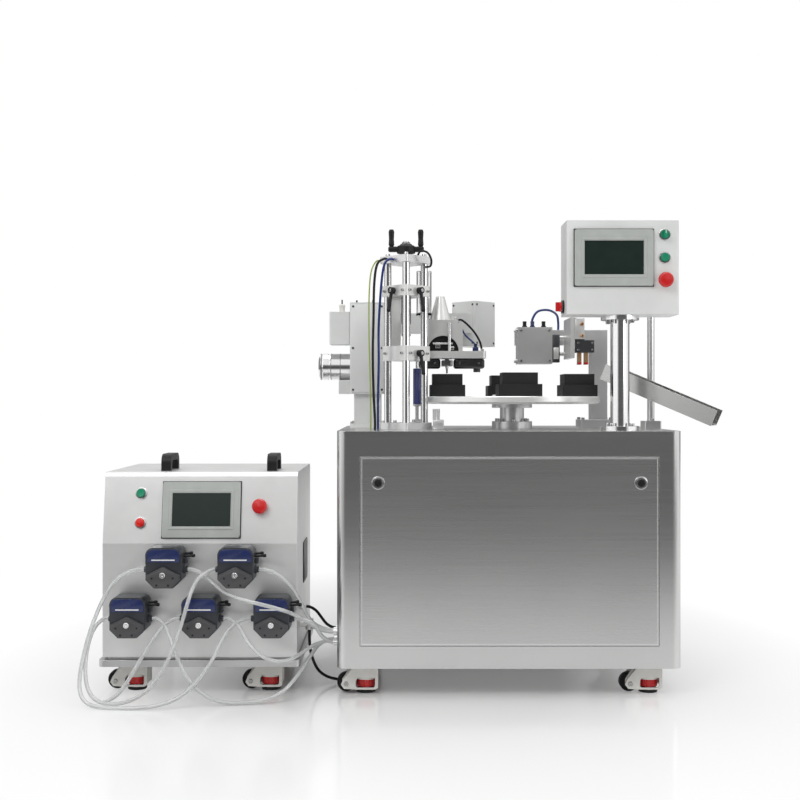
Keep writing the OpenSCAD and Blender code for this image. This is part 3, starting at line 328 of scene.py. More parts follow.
def studio_panels(tree):
    """Brightness that metals see: dark in front, bright panels to both sides and above, grey behind."""
    way = add(tree, "ShaderNodeTexCoord").outputs["Generated"]
    axes = add(tree, "ShaderNodeSeparateXYZ", {"Vector": way}).outputs
    back = math_node(tree, "MULTIPLY", axes["Y"], -1.0)
    turn = math_node(tree, "ABSOLUTE", math_node(tree, "ARCTAN2", axes["X"], back))
    rise = spread(tree, turn, 0.0, PANEL_LIGHT, PANEL_START, PANEL_FULL)
    fall = spread(tree, turn, 1.0, 0.0, PANEL_FADE, PANEL_END)
    behind = spread(tree, turn, FRONT_LIGHT, BACK_LIGHT, PANEL_FADE, PANEL_END)
    level = math_node(tree, "ADD", math_node(tree, "MULTIPLY", rise, fall), behind)
    above = spread(tree, axes["Z"], 0.0, TOP_LIGHT, TOP_START, TOP_FULL)
    return math_node(tree, "MAXIMUM", level, above)


def make_world():
    """White studio: white to the camera, panels to metals, soft as a light."""
    world = bpy.data.worlds.new("studio")
    world.use_nodes = True
    tree = world.node_tree
    background = tree.nodes["Background"]
    background.inputs["Color"].default_value = (1, 1, 1, 1)
    glossy = add(tree, "ShaderNodeLightPath").outputs["Is Glossy Ray"]
    height = axis_of(tree, add(tree, "ShaderNodeTexCoord").outputs["Generated"], "Z")
    ambient = spread(tree, height, AMBIENT_LOW, AMBIENT_HIGH, 0.0, 1.0)
    plain = between(tree, seen_rays(tree), ambient, 1.0)
    tree.links.new(between(tree, glossy, plain, studio_panels(tree)), background.inputs["Strength"])
    bpy.context.scene.world = world


FLOOR_HALF = 9.0
FLOOR_DROP = 0.0006
# Where the floor turns white to metals and to the camera, which sees it stretched
FADE_START, FADE_END, FLOOR_GLOW = 0.55, 1.9, 0.10
VIEW_FADE_START, VIEW_FADE_END, VIEW_STRETCH = 0.5, 1.6, (1.25, 0.8, 0)
# How far in front the floor that metals see turns dark, and how dark
AHEAD_START, AHEAD_END, AHEAD_LIGHT = -0.9, -3.0, 0.08


def make_floor():
    """Pale glossy floor that fades to white away from the object."""
    mesh = bpy.data.meshes.new("floor")
    corners = [(x * FLOOR_HALF, y * FLOOR_HALF, 0) for x, y in ((-1, -1), (1, -1), (1, 1), (-1, 1))]
    mesh.from_pydata(corners, [], [(0, 1, 2, 3)])
    floor = new_object("floor", mesh)
    floor.location.z = -FLOOR_DROP
    tree, shader = new_material("floor_white", Roughness=0.14, Specular_IOR_Level=0.6,
                                Base_Color=(0.90, 0.90, 0.90, 1))
    place = add(tree, "ShaderNodeNewGeometry").outputs["Position"]
    away = vector_node(tree, "LENGTH", place, result="Value")
    stretched = vector_node(tree, "MULTIPLY", place, VIEW_STRETCH)
    view_away = vector_node(tree, "LENGTH", stretched, result="Value")
    fade = spread(tree, away, FLOOR_GLOW, 1.0, FADE_START, FADE_END)
    view_fade = spread(tree, view_away, 0.0, 1.0, VIEW_FADE_START, VIEW_FADE_END)
    glossy = add(tree, "ShaderNodeLightPath").outputs["Is Glossy Ray"]
    factor = math_node(tree, "MULTIPLY", between(tree, glossy, view_fade, fade), seen_rays(tree))
    dark = spread(tree, axis_of(tree, place, "Y"), 1.0, AHEAD_LIGHT, AHEAD_START, AHEAD_END)
    light = between(tree, glossy, 1.0, dark)
    white = add(tree, "ShaderNodeEmission", {"Color": (1, 1, 1, 1), "Strength": light}).outputs["Emission"]
    mix = add(tree, "ShaderNodeMixShader", {0: factor, 1: shader.outputs["BSDF"], 2: white})
    tree.links.new(mix.outputs["Shader"], tree.nodes["Material Output"].inputs["Surface"])
    mesh.materials.append(mats["floor_white"])


def area_light(name, place, target, size, power):
    """Soft box that looks at a target."""
    data = bpy.data.lights.new(name, "AREA")
    data.shape = "RECTANGLE"
    data.size, data.size_y = size
    data.energy = power
    lamp = new_object(name, data)
    lamp.location = place
    lamp.rotation_euler = (Vector(target) - Vector(place)).to_track_quat("-Z", "Y").to_euler()


bpy.context.scene.view_settings.view_transform = "Standard"
make_camera()
make_world()
make_floor()
area_light("key", (-1.6, -2.6, 3.0), (0, 0, 0.7), (1.6, 1.6), 42)
area_light("fill", (2.4, -2.0, 1.8), (0, 0, 0.7), (1.2, 2.0), 16)
area_light("top", (0.2, 0.4, 3.4), (0, 0, 0.8), (2.6, 1.8), 34)


# Cords, at the places that the solids hold

HOSE_D = 10
CABLE_D = 8
AIR_TUBE_D = 7
# How often the bends of a hose or a cable are eased
HOSE_PASSES, CABLE_PASSES = 12, 2
HOSE_ROUTES = [
    [(-496, -15, 337), (-530, -15, 336), (-576, -28, 304), (-622, -42, 205), (-646, -58, 105),
     (-648, -80, 36), (-620, -104, 8), (-556, -118, 6), (-470, -116, 6), (-390, -102, 26),
     (-322, -80, 96), (-286, -42, 172), (-256, -17, 206), (-220, -15, 210)],
    [(-588, -15, 210), (-614, -15, 208), (-634, -36, 160), (-638, -60, 75), (-614, -80, 16),
     (-548, -88, 6), (-470, -92, 42), (-412, -94, 135), (-380, -86, 232), (-364, -64, 298),
     (-344, -36, 330), (-312, -15, 337)],
    [(-404, -15, 210), (-436, -16, 206), (-476, -45, 150), (-520, -66, 72), (-556, -72, 18), (-592, -70, 6)],
    [(-384, -15, 337), (-352, -13, 334), (-316, -22, 300), (-268, -60, 276), (-200, -85, 262),
     (-120, -62, 236), (-78, 6, 198), (-48, 56, 164), (-12, 62, 160)],
    [(-200, -15, 337), (-166, -15, 336), (-120, -22, 300), (-92, 14, 244), (-74, 60, 190),
     (-48, 84, 164), (-12, 86, 160)],
    [(-108, -15, 210), (-80, -16, 210), (-58, -2, 196), (-48, 30, 166), (-40, 54, 142), (-12, 62, 132)],
    [(-292, -15, 210), (-260, -16, 208), (-226, -58, 160), (-176, -80, 118), (-122, -42, 106),
     (-86, 34, 116), (-48, 82, 130), (-12, 86, 132)],
    [(-476, -15, 210), (-446, -16, 206), (-412, -58, 140), (-364, -84, 58), (-300, -80, 12),
     (-222, -66, 6), (-140, -46, 22), (-84, 36, 80), (-50, 100, 126), (-12, 110, 132)],
]
CABLE_ROUTES = [
    [(-82, 150, 150), (-82, 150, 120), (-77, 151, 80), (-55, 156, 32), (-10, 168, 9), (48, 188, 9),
     (92, 204, 28), (110, 210, 50), (110, 210, 66)],
    [(-94, 190, 205), (-82, 190, 203), (-69, 190, 197), (-53, 190, 176), (-37, 190, 154), (-24, 190, 148),
     (-12, 190, 146)],
]
AIR_ROUTES = [
    ("cable_rubber",
     [(130, 208, 1166), (120, 198, 1166), (102, 184, 1149), (94, 180, 1095), (92, 180, 1000),
      (90, 180, 900), (92, 180, 800), (96, 180, 720), (96, 180, 694)]),
    ("air_tube",
     [(146, 191, 1164), (138, 183, 1164), (123, 180, 1151), (114, 186, 1100), (106, 200, 980),
      (106, 202, 880), (104, 202, 780), (104, 202, 720), (104, 202, 694)]),
    ("air_tube",
     [(640, 466, 984), (640, 466, 1008), (633, 452, 1030), (605, 418, 1041), (573, 416, 1037),
      (557, 418, 1013), (557, 418, 989)]),
]
HELD_TUBES = [
    ("arm_hose_black", 6, "cable_rubber", "carriage",
     [(326, 298, 1000), (342, 297, 1003), (372, 302, 976), (394, 318, 944), (402, 328, 913)]),
    ("arm_hose_blue", 5, "air_tube", "carriage",
     [(320, 306, 1000), (332, 306, 996), (352, 312, 962), (374, 318, 942), (382, 318, 934)]),
    ("head_hose_loop", 6, "cable_rubber", "root",
     [(214, 194, 1175), (222, 186, 1186), (240, 182, 1182), (251, 186, 1164), (250, 206, 1148),
      (238, 222, 1146)]),
    ("earth_lead", 4, "lead_green", "root",
     [(112, 230, 1165), (98, 226, 1162), (84, 218, 1130), (79, 210, 1060), (79, 204, 960), (82, 200, 840),
      (84, 194, 740), (84, 192, 694)]),
]


def smooth_route(route, steps=8):
    """Points of a smooth curve through a route given in millimetres."""
    points = [at(*p) for p in route]
    padded = [2 * points[0] - points[1], *points, 2 * points[-1] - points[-2]]
    line = []
    for a, b, c, d in zip(padded, padded[1:], padded[2:], padded[3:]):
        for k in range(steps):
            t = k / steps
            line.append(0.5 * (2 * b + (c - a) * t + (2 * a - 5 * b + 4 * c - d) * t * t
                               + (3 * b - a - 3 * c + d) * t ** 3))
    return line + [points[-1]]


def line_length(line):
    return sum((b - a).length for a, b in zip(line, line[1:]))


def eased(line, lowest, passes, step=10):
    """A line with its bends eased, its two ends kept, and none of it below a height in millimetres."""
    count = max(5, round(line_length(line) / (step * MM)))
    pitch = line_length(line) / count
    points, run = [line[0]], 0.0
    for a, b in zip(line, line[1:]):
        span = (b - a).length
        while len(points) < count and run + span >= pitch * len(points):
            points.append(a.lerp(b, (pitch * len(points) - run) / span))
        run += span
    points.append(line[-1])
    for _ in range(passes):
        middle = [(a + 2 * b + c) / 4 for a, b, c in zip(points[1:], points[2:-2], points[3:])]
        points = [*points[:2], *middle, *points[-2:]]
    for point in points:
        point.z = max(point.z, lowest * MM)
    return points


def tube(name, line, diameter, finish, body):
    """Round tube along a line, as a curve of one open spline."""
    data = bpy.data.curves.new(name, "CURVE")
    data.dimensions = "3D"
    data.bevel_depth = diameter * MM / 2
    data.bevel_resolution = 4
    data.use_fill_caps = True
    spline = data.splines.new("POLY")
    spline.points.add(len(line) - 1)
    for point, place in zip(spline.points, line):
        point.co = (*place, 1)
    spline.use_smooth = True
    data.materials.append(mats[finish])
    obj = new_object(name, data)
    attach(obj, body)
    return obj


def make_cords():
    """Product hoses and link cables, each along its own route."""
    for k, route in enumerate(HOSE_ROUTES, 1):
        line = eased(smooth_route(route), HOSE_D / 2, HOSE_PASSES)
        hose = tube(f"product_hose_{k}", line, HOSE_D, "clear_hose", "root")
        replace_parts(hose, "product_hoses")
    for k, route in enumerate(CABLE_ROUTES, 1):
        line = eased(smooth_route(route), CABLE_D / 2, CABLE_PASSES)
        cable = tube(f"link_cable_{k}", line, CABLE_D, "cable_rubber", "root")
        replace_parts(cable, "link_cables")


def make_held_tubes():
    """Hoses and leads that are held at both ends."""
    for k, (finish, route) in enumerate(AIR_ROUTES, 1):
        held = tube(f"air_tube_{k}", smooth_route(route), AIR_TUBE_D, finish, "root")
        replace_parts(held, "machine_hoses")
    for name, diameter, finish, body, route in HELD_TUBES:
        held = tube(name, smooth_route(route), diameter, finish, body)


# Mesh tools: each adds one shape to a mesh under construction, with sizes in millimetres

SHARP = math.radians(32)
WELD = 1e-6
CORNER_STEPS = 6


def piece(name, finish, body, *shapes):
    """Object of shapes, each a mesh tool and its values: smooth faces, sharp creases, finish and body."""
    bm = bmesh.new()
    for tool, *values in shapes:
        tool(bm, *values)
    bmesh.ops.remove_doubles(bm, verts=bm.verts, dist=WELD)
    bmesh.ops.recalc_face_normals(bm, faces=bm.faces)
    for face in bm.faces:
        face.smooth = True
    for edge in bm.edges:
        edge.smooth = len(edge.link_faces) == 2 and edge.calc_face_angle(0.0) < SHARP
    mesh = bpy.data.meshes.new(name)
    bm.to_mesh(mesh)
    bm.free()
    mesh.materials.append(mats[finish])
    obj = new_object(name, mesh)
    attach(obj, body)
    return obj


def frame_at(place, axis=(0, 0, 1)):
    """Matrix whose Z runs along an axis at a place given in metres."""
    return Matrix.Translation(place) @ Vector(axis).normalized().to_track_quat("Z", "Y").to_matrix().to_4x4()


def upright(x, y, z):
    """Matrix whose Z runs up at a point given from the datum."""
    return frame_at(at(x, y, z))


def shifted(matrix, x, y, z):
    """A matrix moved along its own axes."""
    return matrix @ Matrix.Translation(Vector((x, y, z)) * MM)


def front_frame(place, tilt=0.0):
    """Matrix on a panel that faces the front: X right, Y up the panel, Z out of it."""
    up = Vector((0, math.sin(tilt), math.cos(tilt)))
    out = Vector((0, -math.cos(tilt), math.sin(tilt)))
    return Matrix.Translation(place) @ Matrix((Vector((1, 0, 0)), up, out)).transposed().to_4x4()


def back_frame(place):
    """Matrix on a panel that faces the rear: X left, Y up, Z out of it."""
    return Matrix.Translation(place) @ Matrix.Rotation(math.pi, 4, "Z") @ front_frame(Vector((0, 0, 0)))


def row_of(bm, matrix, outline, z):
    """New points of an outline at one height."""
    return [bm.verts.new(matrix @ (Vector((x, y, z)) * MM)) for x, y in outline]


def bridge(bm, low, high):
    """Faces between two closed rows of points, one of which may be a single point."""
    count = max(len(low), len(high))
    for k in range(count):
        n = (k + 1) % count
        if len(low) == 1:
            bm.faces.new((low[0], high[n], high[k]))
        elif len(high) == 1:
            bm.faces.new((low[k], low[n], high[0]))
        else:
            bm.faces.new((low[k], low[n], high[n], high[k]))


def arc(r, count, span=360, start=0, x=0, y=0):
    """Points on an arc about x, y with angles in degrees, or on a full circle without a second start."""
    angles = [math.radians(start + span * k / count) for k in range(count + (span < 360))]
    return [(x + r * math.cos(angle), y + r * math.sin(angle)) for angle in angles]


def lathe(bm, profile, matrix, segments):
    """Turned shape: profile of (radius, height) about the matrix's Z axis."""
    rows = [row_of(bm, matrix, arc(r, segments) if r else [(0, 0)], z) for r, z in profile]
    for low, high in zip(rows, rows[1:]):
        bridge(bm, low, high)


def block(bm, size, matrix, edge, segments=2):
    """Box centred on the matrix, with rounded edges."""
    made = bmesh.ops.create_cube(bm, size=1.0)
    scale = Matrix.Diagonal((*(Vector(size) * MM), 1))
    bmesh.ops.transform(bm, matrix=matrix @ scale, verts=made["verts"])
    edges = list({e for v in made["verts"] for e in v.link_edges})
    bmesh.ops.bevel(bm, geom=edges, offset=edge * MM, segments=segments, affect="EDGES", profile=0.5)


def prism(bm, outline, depth, matrix, edge=0.0):
    """Plate from an outline in the matrix's XY plane, rising along its Z."""
    low, high = row_of(bm, matrix, outline, 0), row_of(bm, matrix, outline, depth)
    bm.faces.new(low[::-1])
    top = bm.faces.new(high)
    bridge(bm, low, high)
    if edge:
        bmesh.ops.bevel(bm, geom=list(top.edges), offset=edge * MM, segments=2, affect="EDGES", profile=0.5)


def rect_ring(bm, w, h, sections, matrix):
    """Mitred frame round a rectangle: sections of (inset, height)."""
    rows = []
    for inset, height in sections:
        x, y = w / 2 - inset, h / 2 - inset
        rows.append(row_of(bm, matrix, ((x, y), (-x, y), (-x, -y), (x, -y)), height))
    for low, high in zip(rows, rows[1:]):
        bridge(bm, low, high)


def ring_plate(bm, outer, inner, depth, matrix):
    """Plate with a window: two outlines of as many points, rising along the matrix's Z."""
    sides = ((outer, 0), (outer, depth), (inner, depth), (inner, 0))
    rows = [row_of(bm, matrix, outline, z) for outline, z in sides]
    for first, second in zip(rows, rows[1:] + rows[:1]):
        bridge(bm, first, second)


def round_outline(w, h, r):
    """Rectangle with round corners, centred."""
    points = []
    for sx, sy, start in ((1, 1, 0), (-1, 1, 90), (-1, -1, 180), (1, -1, 270)):
        points += arc(r, CORNER_STEPS, 90, start, sx * (w / 2 - r), sy * (h / 2 - r))
    return points


def knurl_outline(r, depth, count):
    """Toothed circle."""
    pairs = zip(arc(r, count), arc(r - depth, count, 360, 180 / count))
    return [point for pair in pairs for point in pair]


def cap_screw(bm, place, axis, d):
    """Socket head cap screw with its six-sided recess."""
    matrix = frame_at(place, axis)
    r = 0.78 * d
    lathe(bm, [(r, 0), (r, 0.8 * d), (0.9 * r, d), (0.58 * r, d)], matrix, 18)
    lathe(bm, [(0.58 * r, d), (0.5 * r, 0.45 * d), (0, 0.45 * d)], matrix, 6)


def screws(name, body, d, places, axis=(0, 0, 1)):
    """A set of equal screws on one body."""
    piece(name, "lock_metal", body, *((cap_screw, place, axis, d) for place in places))


def ring_places(middle, z, r, count, start=0):
    """Places on a level circle."""
    return [at(x, y, z) for x, y in arc(r, count, 360, start, *middle)]


# Places that the pieces share, in millimetres from the datum

TOP_Z = 694
FOOT_TOP_Z, LIFT_TOP_Z = 712, 1175
TABLE_TOP_Z, POST_HEAD_Z = 790, 986
UNLOAD_FOOT_Z, SEALING_FOOT_Z = 716, 706
LIFT_AT = (182, 230)
POST_AT = (748, 60)
BOX_FRONT_Y = 5
BOX_LEFT_X = 599
BUTTON_X = 854
BUTTON_ZS = (1206, 1146, 1087)
HMI_AT = (721.5, 5, 1145.5)
PUMP_LEFT_X, PUMP_FRONT_Y, PANEL_Z = -616, 30, 398
PANEL_TILT = math.radians(10)
PANEL_L = 188.9
LOCK_AXIS = 13


def panel_frame(x, s):
    """Matrix on the pump unit's tilted panel, x from its left side and s up from its middle."""
    up = PANEL_L / 2 + s
    y = PUMP_FRONT_Y + up * math.sin(PANEL_TILT)
    return front_frame(at(PUMP_LEFT_X + x, y, PANEL_Z + up * math.cos(PANEL_TILT)), PANEL_TILT)


def make_screws():
    """Visible screws of the stations."""
    screws("hub_screws", "root", 8, ring_places(TABLE_AT, TOP_Z + 20, 47, 6, 30))
    screws("table_screws", "turntable", 6, ring_places(TABLE_AT, TABLE_TOP_Z, 40, 6))
    screws("post_foot_screws", "root", 8, ring_places(POST_AT, TOP_Z + 12, 38, 4, 45))
    screws("post_head_screws", "root", 8, ring_places(POST_AT, POST_HEAD_Z, 38, 4, 45), (0, 0, -1))
    screws("lift_head_screws", "root", 8, ring_places(LIFT_AT, LIFT_TOP_Z, 50.9, 4))
    screws("lift_foot_screws", "root", 6, ring_places(LIFT_AT, FOOT_TOP_Z, 44, 4, 45))
    spots = [(x, y) for x in (709, 791) for y in (429, 511)] + [(874, 239), (874, 285)]
    screws("unload_screws", "root", 7, [at(*spot, UNLOAD_FOOT_Z) for spot in spots])
    spots = [(x, y) for x in (24, 115) for y in (387, 513)]
    screws("sealing_screws", "root", 6, [at(*spot, SEALING_FOOT_Z) for spot in spots])


def make_door_trim():
    """Folded rim of the service panel, and the collars and keyways of its locks."""
    w, h = (door_high.x - door_low.x) / MM, (door_high.z - door_low.z) / MM
    middle = (door_low + door_high) / 2
    matrix = front_frame(Vector((middle.x, door_low.y, middle.z)))
    piece("door_rim", "door_steel", "door",
          (rect_ring, w, h, [(0, 0), (0.8, 1.0), (4.2, 1.0), (5.4, 0)], matrix))
    for side in ("left", "right"):
        low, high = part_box(f"door_lock_{side}")
        spot = front_frame(Vector(((low.x + high.x) / 2, door_low.y, low.z + LOCK_AXIS * MM)))
        piece(f"lock_collar_{side}", "lock_metal", "door",
              (lathe, [(13.4, 0), (13.4, 2.6), (14.4, 3.2), (17, 2.4), (18, 0)], spot, 40))
        piece(f"lock_key_{side}", "black_plastic", f"door_lock_{side}",
              (lathe, [(9.5, 4.2), (9.5, 5.4), (8.6, 6.0), (0, 6.0)], spot, 32),
              (block, (3, 15, 3), shifted(spot, 0, 0, 6.5), 0.8))


def make_panel_details():
    """Rims of the touch panels, and collars, caps and marks of the controls."""
    for name, matrix in (("box", front_frame(at(*HMI_AT))), ("pump", panel_frame(258, -6))):
        piece(f"{name}_screen_rim", "bezel_plastic", "root",
              (rect_ring, 172, 106, [(0, 8), (1.2, 9.4), (6, 9.4), (9, 6.8)], matrix))
        piece(f"{name}_panel_gasket", "black_plastic", "root",
              (rect_ring, 209, 151, [(0, 0), (0, 2.2), (2, 2.4)], matrix))
    selector, run, stop = (front_frame(at(BUTTON_X, BOX_FRONT_Y, z)) for z in BUTTON_ZS)
    pump_button = panel_frame(97, 38)
    collars = {"box_collar_0": selector, "box_collar_1": run, "box_collar_2": stop,
               "pump_button_collar": pump_button, "pump_lamp_collar": panel_frame(97, -40),
               "pump_stop_collar": panel_frame(412, 2)}
    for name, matrix in collars.items():
        piece(name, "chrome", "root",
              (lathe, [(11.5, 4.2), (12.2, 5.0), (14.6, 4.8), (15.6, 3.6), (15.6, 0)], matrix, 40))
    for body, matrix in (("run_button", run), ("pump_button", pump_button)):
        piece(f"{body}_cap", "green_plastic", body,
              (lathe, [(10.4, 9.9), (10.4, 10.5), (9.4, 11.0), (6.5, 10.6), (0, 10.5)], matrix, 36))
    piece("selector_mark", "white_mark", "start_selector",
          (block, (1.8, 8, 0.8), shifted(selector, 0, 5, 18), 0.2))
    seat = frame_at(at(BOX_LEFT_X, 60, 1022), (-1, 0, 0))
    piece("side_switch_seat", "black_plastic", "root",
          (lathe, [(17.6, 0), (17.6, 5.4), (16.4, 6.25), (13.6, 6.25)], seat, 40))


# Castors, the same under both units

CASTOR_TRAIL = 52
CASTOR_SPOTS = [(x, y) for x in (75, 825) for y in (75, 575)]
CASTOR_SPOTS += [(PUMP_LEFT_X + x, PUMP_FRONT_Y + y) for x in (75, 435) for y in (75, 375)]
# Side plate of a castor, from its swivel axis at the floor: outside and window
CASTOR_PLATE = [(32, 69), (32, 16), (25, 11), (-26, 11), (-58, 13), (-66, 24), (-60, 38), (-34, 69)]
CASTOR_WINDOW = [(24, 42), (24, 20), (20, 16), (-22, 16), (-26, 18), (-27, 24), (-26, 36), (-22, 42)]
CASTOR_PLATE_Y = 27
CASTOR_PLATE_T = 4
AXLE_NUT = [(7, 0), (7, 0.8), (5.6, 0.9), (5.6, 4), (4.6, 4.6), (0, 4.6)]
CASTOR_FOOT = [(20, 0.15), (24.6, 0.4), (25, 1.6), (25, 7), (23, 10.2), (8.2, 10.6)]


def make_castor_details():
    """Cream side plates, red knurled thumbwheel, rubber foot and axle nuts of each castor."""
    half = CASTOR_PLATE_Y + CASTOR_PLATE_T
    for k, (x, y) in enumerate(CASTOR_SPOTS, 1):
        body = f"castor_{k}"
        walls = [front_frame(at(x, wall, 0)) for wall in (y - CASTOR_PLATE_Y, y + half)]
        nuts = [frame_at(at(x - CASTOR_TRAIL, y + side * half, 26.3), (0, side, 0)) for side in (-1, 1)]
        piece(f"{body}_thumbwheel", "red_plastic", body,
              (prism, knurl_outline(25, 1.2, 30), 19, upright(x, y, 16.5), 0.8))
        piece(f"{body}_plates", "castor_cream", body,
              *((ring_plate, CASTOR_PLATE, CASTOR_WINDOW, CASTOR_PLATE_T, wall) for wall in walls),
              (block, (3, 2 * CASTOR_PLATE_Y, 50), upright(x + 30.4, y, 43), 0.6))
        piece(f"{body}_foot", "castor_black", body, (lathe, CASTOR_FOOT, upright(x, y, 0), 40))
        piece(f"{body}_nuts", "lock_metal", body, *((lathe, AXLE_NUT, nut, 6) for nut in nuts))


# Filling column and its arm

SCREW_LEAD = 5
SCREW_FOOT_Z, THREAD_TOP_Z, SCREW_TOP_Z = 702.3, 1150, 1219.3
THREAD_STEPS = 16
CLAMP_HALF = 49
CLAMP_TOP_Z = 925
CLAMP_ZS = (904.5, 1078)
ARM_TOP_Z = 913
FILL_AT = (234, 318)
SPRING_AT = (213, 262)


def thread(bm, matrix, root, crest, length):
    """Trapezoid thread on a rod."""
    count = int(length / SCREW_LEAD * THREAD_STEPS)
    rows = []
    for i in range(count):
        angle = 2 * math.pi * i / THREAD_STEPS
        row = []
        for share, radius in ((0, root), (0.2, crest), (0.5, crest), (0.7, root)):
            z = SCREW_LEAD * (i / THREAD_STEPS + share)
            row += row_of(bm, matrix, [(radius * math.cos(angle), radius * math.sin(angle))], z)
        rows.append(row)
    for i in range(count - 1):
        for j in range(3):
            bm.faces.new((rows[i][j], rows[i + 1][j], rows[i + 1][j + 1], rows[i][j + 1]))
        if i + 1 + THREAD_STEPS < count:
            up, next_up = rows[i + THREAD_STEPS], rows[i + 1 + THREAD_STEPS]
            bm.faces.new((rows[i][3], rows[i + 1][3], next_up[0], up[0]))


def make_screw():
    """Lead screw with its thread, collar, top nut and the hub of its crank."""
    x, y = LIFT_AT
    cut, full = THREAD_TOP_Z - SCREW_FOOT_Z, SCREW_TOP_Z - SCREW_FOOT_Z
    rod = [(0, 0), (7, 0), (7.9, 1), (7.9, 9), (6.8, 11), (6.8, cut - 2), (7.9, cut), (7.9, full - 1),
           (7, full), (0, full)]
    collar = [(8, 0), (13.2, 0), (14, 0.8), (14, 7.2), (13.2, 8), (8, 8)]
    made = piece("lead_screw", "screw_steel", "screw",
                 (thread, upright(x, y, SCREW_FOOT_Z + 10), 6.9, 7.95, cut - 16),
                 (lathe, rod, upright(x, y, SCREW_FOOT_Z), 28),
                 (lathe, collar, upright(x, y, 1175.3), 36))
    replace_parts(made, "lift_screw")
    piece("handwheel_nut", "lock_metal", "screw",
          (lathe, [(8.05, 0), (12, 0), (12, 5.5), (10.5, 7), (8.05, 7)], upright(x, y, 1209.7), 6),
          (lathe, [(14.5, -0.1), (16, 0.4), (16, 1.2), (8.05, 1.4)], upright(x, y, 1209.6), 32))
    piece("handwheel_hub", "black_plastic", "screw",
          (lathe, [(17.1, 0.5), (24, 1), (26, 3), (26, 19), (24, 22), (17.1, 25)], upright(x, y, 1183.6), 40),
          (block, (100, 20, 15), upright(x, y, 1196.6), 5, 4))


def face_place(side, u, z, half, middle=LIFT_AT):
    """Place and outward direction on a column's front face: side -1 left, 1 right; u along it."""
    c = math.sqrt(0.5)
    out, along = Vector((side * c, -c, 0)), Vector((c, side * c, 0))
    return at(*middle, z) + (out * half + along * u) * MM, out


def make_carriage_details():
    """Screws, filling cylinder, dark arch insert and rods of the filling arm."""
    sides = [(side, u, z) for z, reach in zip(CLAMP_ZS, (33, 36))
             for side in (-1, 1) for u in (-reach, reach)]
    flats = ((200, 262, 913), (398, 262, 913), (398, 363, 913), (252, 322, 1002), (322, 270, 1002))
    piece("carriage_screws", "lock_metal", "carriage",
          *((cap_screw, *face_place(side, u, z, CLAMP_HALF), 5) for side, u, z in sides),
          *((cap_screw, at(*spot), (0, 0, 1), 6) for spot in flats))
    foot = upright(*FILL_AT, ARM_TOP_Z)
    piece("fill_cylinder_ends", "machined_aluminium", "carriage",
          (lathe, [(16, 0), (16, 6), (9, 7), (9, 96), (14, 97), (14, 103), (21, 104)], foot, 36),
          (lathe, [(21, 110), (22, 111), (22, 113)], foot, 36),
          (lathe, [(22, 228), (22, 231), (20, 233), (6, 234), (6, 239), (0, 239)], foot, 36))
    piece("fill_cylinder", "chrome", "carriage",
          (lathe, [(22, 113), (21.6, 114), (21.6, 227), (22, 228)], foot, 40))
    piece("screw_sleeve", "screw_steel", "carriage",
          (lathe, [(14, 138), (14, 64), (11, 60), (11, 36), (13, 35), (13, 29), (9.6, 28), (9.6, 0)],
           upright(*LIFT_AT, CLAMP_TOP_Z), 36))
    piece("arch_insert", "black_plastic", "carriage",
          (lathe, [(21, 104), (22.6, 104.4), (22.6, 109.6), (21, 110)], foot, 40),
          (prism, arc(48, 20, 180), 3, front_frame(at(287, 275.2, ARM_TOP_Z))))
    piece("arch_rods", "polished_rod", "carriage",
          (lathe, [(0, 0), (4.5, 0), (4.5, 80), (0, 80)], upright(304, 256, ARM_TOP_Z), 20),
          (lathe, [(0, 0), (3, 0), (3, 56), (0, 56)], frame_at(at(258, 267, 935), (1, 0, 0)), 16),
          (block, (14, 6, 16), upright(272, 268, 930), 1),
          (block, (12, 6, 10), upright(312, 268, 922), 1))
    piece("arm_fitting", "band_blue", "carriage",
          (block, (16, 18, 14), upright(382, 318, ARM_TOP_Z + 7), 2),
          (lathe, [(5, 0), (5, 9), (3.8, 10), (0, 10)], upright(382, 318, ARM_TOP_Z + 14), 20))


def make_needle_details():
    """Dark bars under the filling arm, with their screws, and the hubs of the filling needles."""
    piece("arm_bars", "dark_anodised", "carriage",
          (block, (62, 44, 28), upright(250, 320, 878.9), 7, 4),
          (block, (88, 44, 28), upright(363, 320, 878.9), 7, 4),
          (lathe, [(0, -10), (9, -10), (10, -9), (10, 2)], upright(386, 320, 865), 28))
    hubs = [frame_at(at(300, 320 + 14 * k, 872), (0, 0, -1)) for k in range(-2, 3)]
    piece("needle_hubs", "polished_rod", "needles",
          *((lathe, [(4.2, -0.5), (4.2, 3), (3, 4), (3, 8), (1.7, 9)], hub, 16) for hub in hubs))
    screws("arm_bar_screws", "carriage", 4, [at(x, 298, 880) for x in (236, 264, 336, 390)], (0, -1, 0))


def make_spring():
    """Gas spring that carries the arm, and the valve beside it."""
    foot = upright(*SPRING_AT, FOOT_TOP_Z)
    piece("arm_spring", "spring_blue", "root",
          (lathe, [(11, 51), (11, 150), (10, 152), (4.6, 152), (4.6, 60)], foot, 32))
    piece("arm_spring_foot", "machined_aluminium", "root",
          (lathe, [(14, 0), (14, 8), (5, 9), (5, 44), (9, 46), (11, 47), (11, 51)], foot, 32))
    piece("arm_spring_rod", "polished_rod", "carriage",
          (lathe, [(0, 0), (4, 0), (4, 103), (0, 103)], upright(*SPRING_AT, 781), 20))
    piece("column_valve", "machined_aluminium", "root",
          (block, (30, 26, 26), upright(272, 214, TOP_Z + 13), 2),
          (prism, knurl_outline(10, 0.7, 24), 30, upright(266, 214, TOP_Z + 26), 0.8))


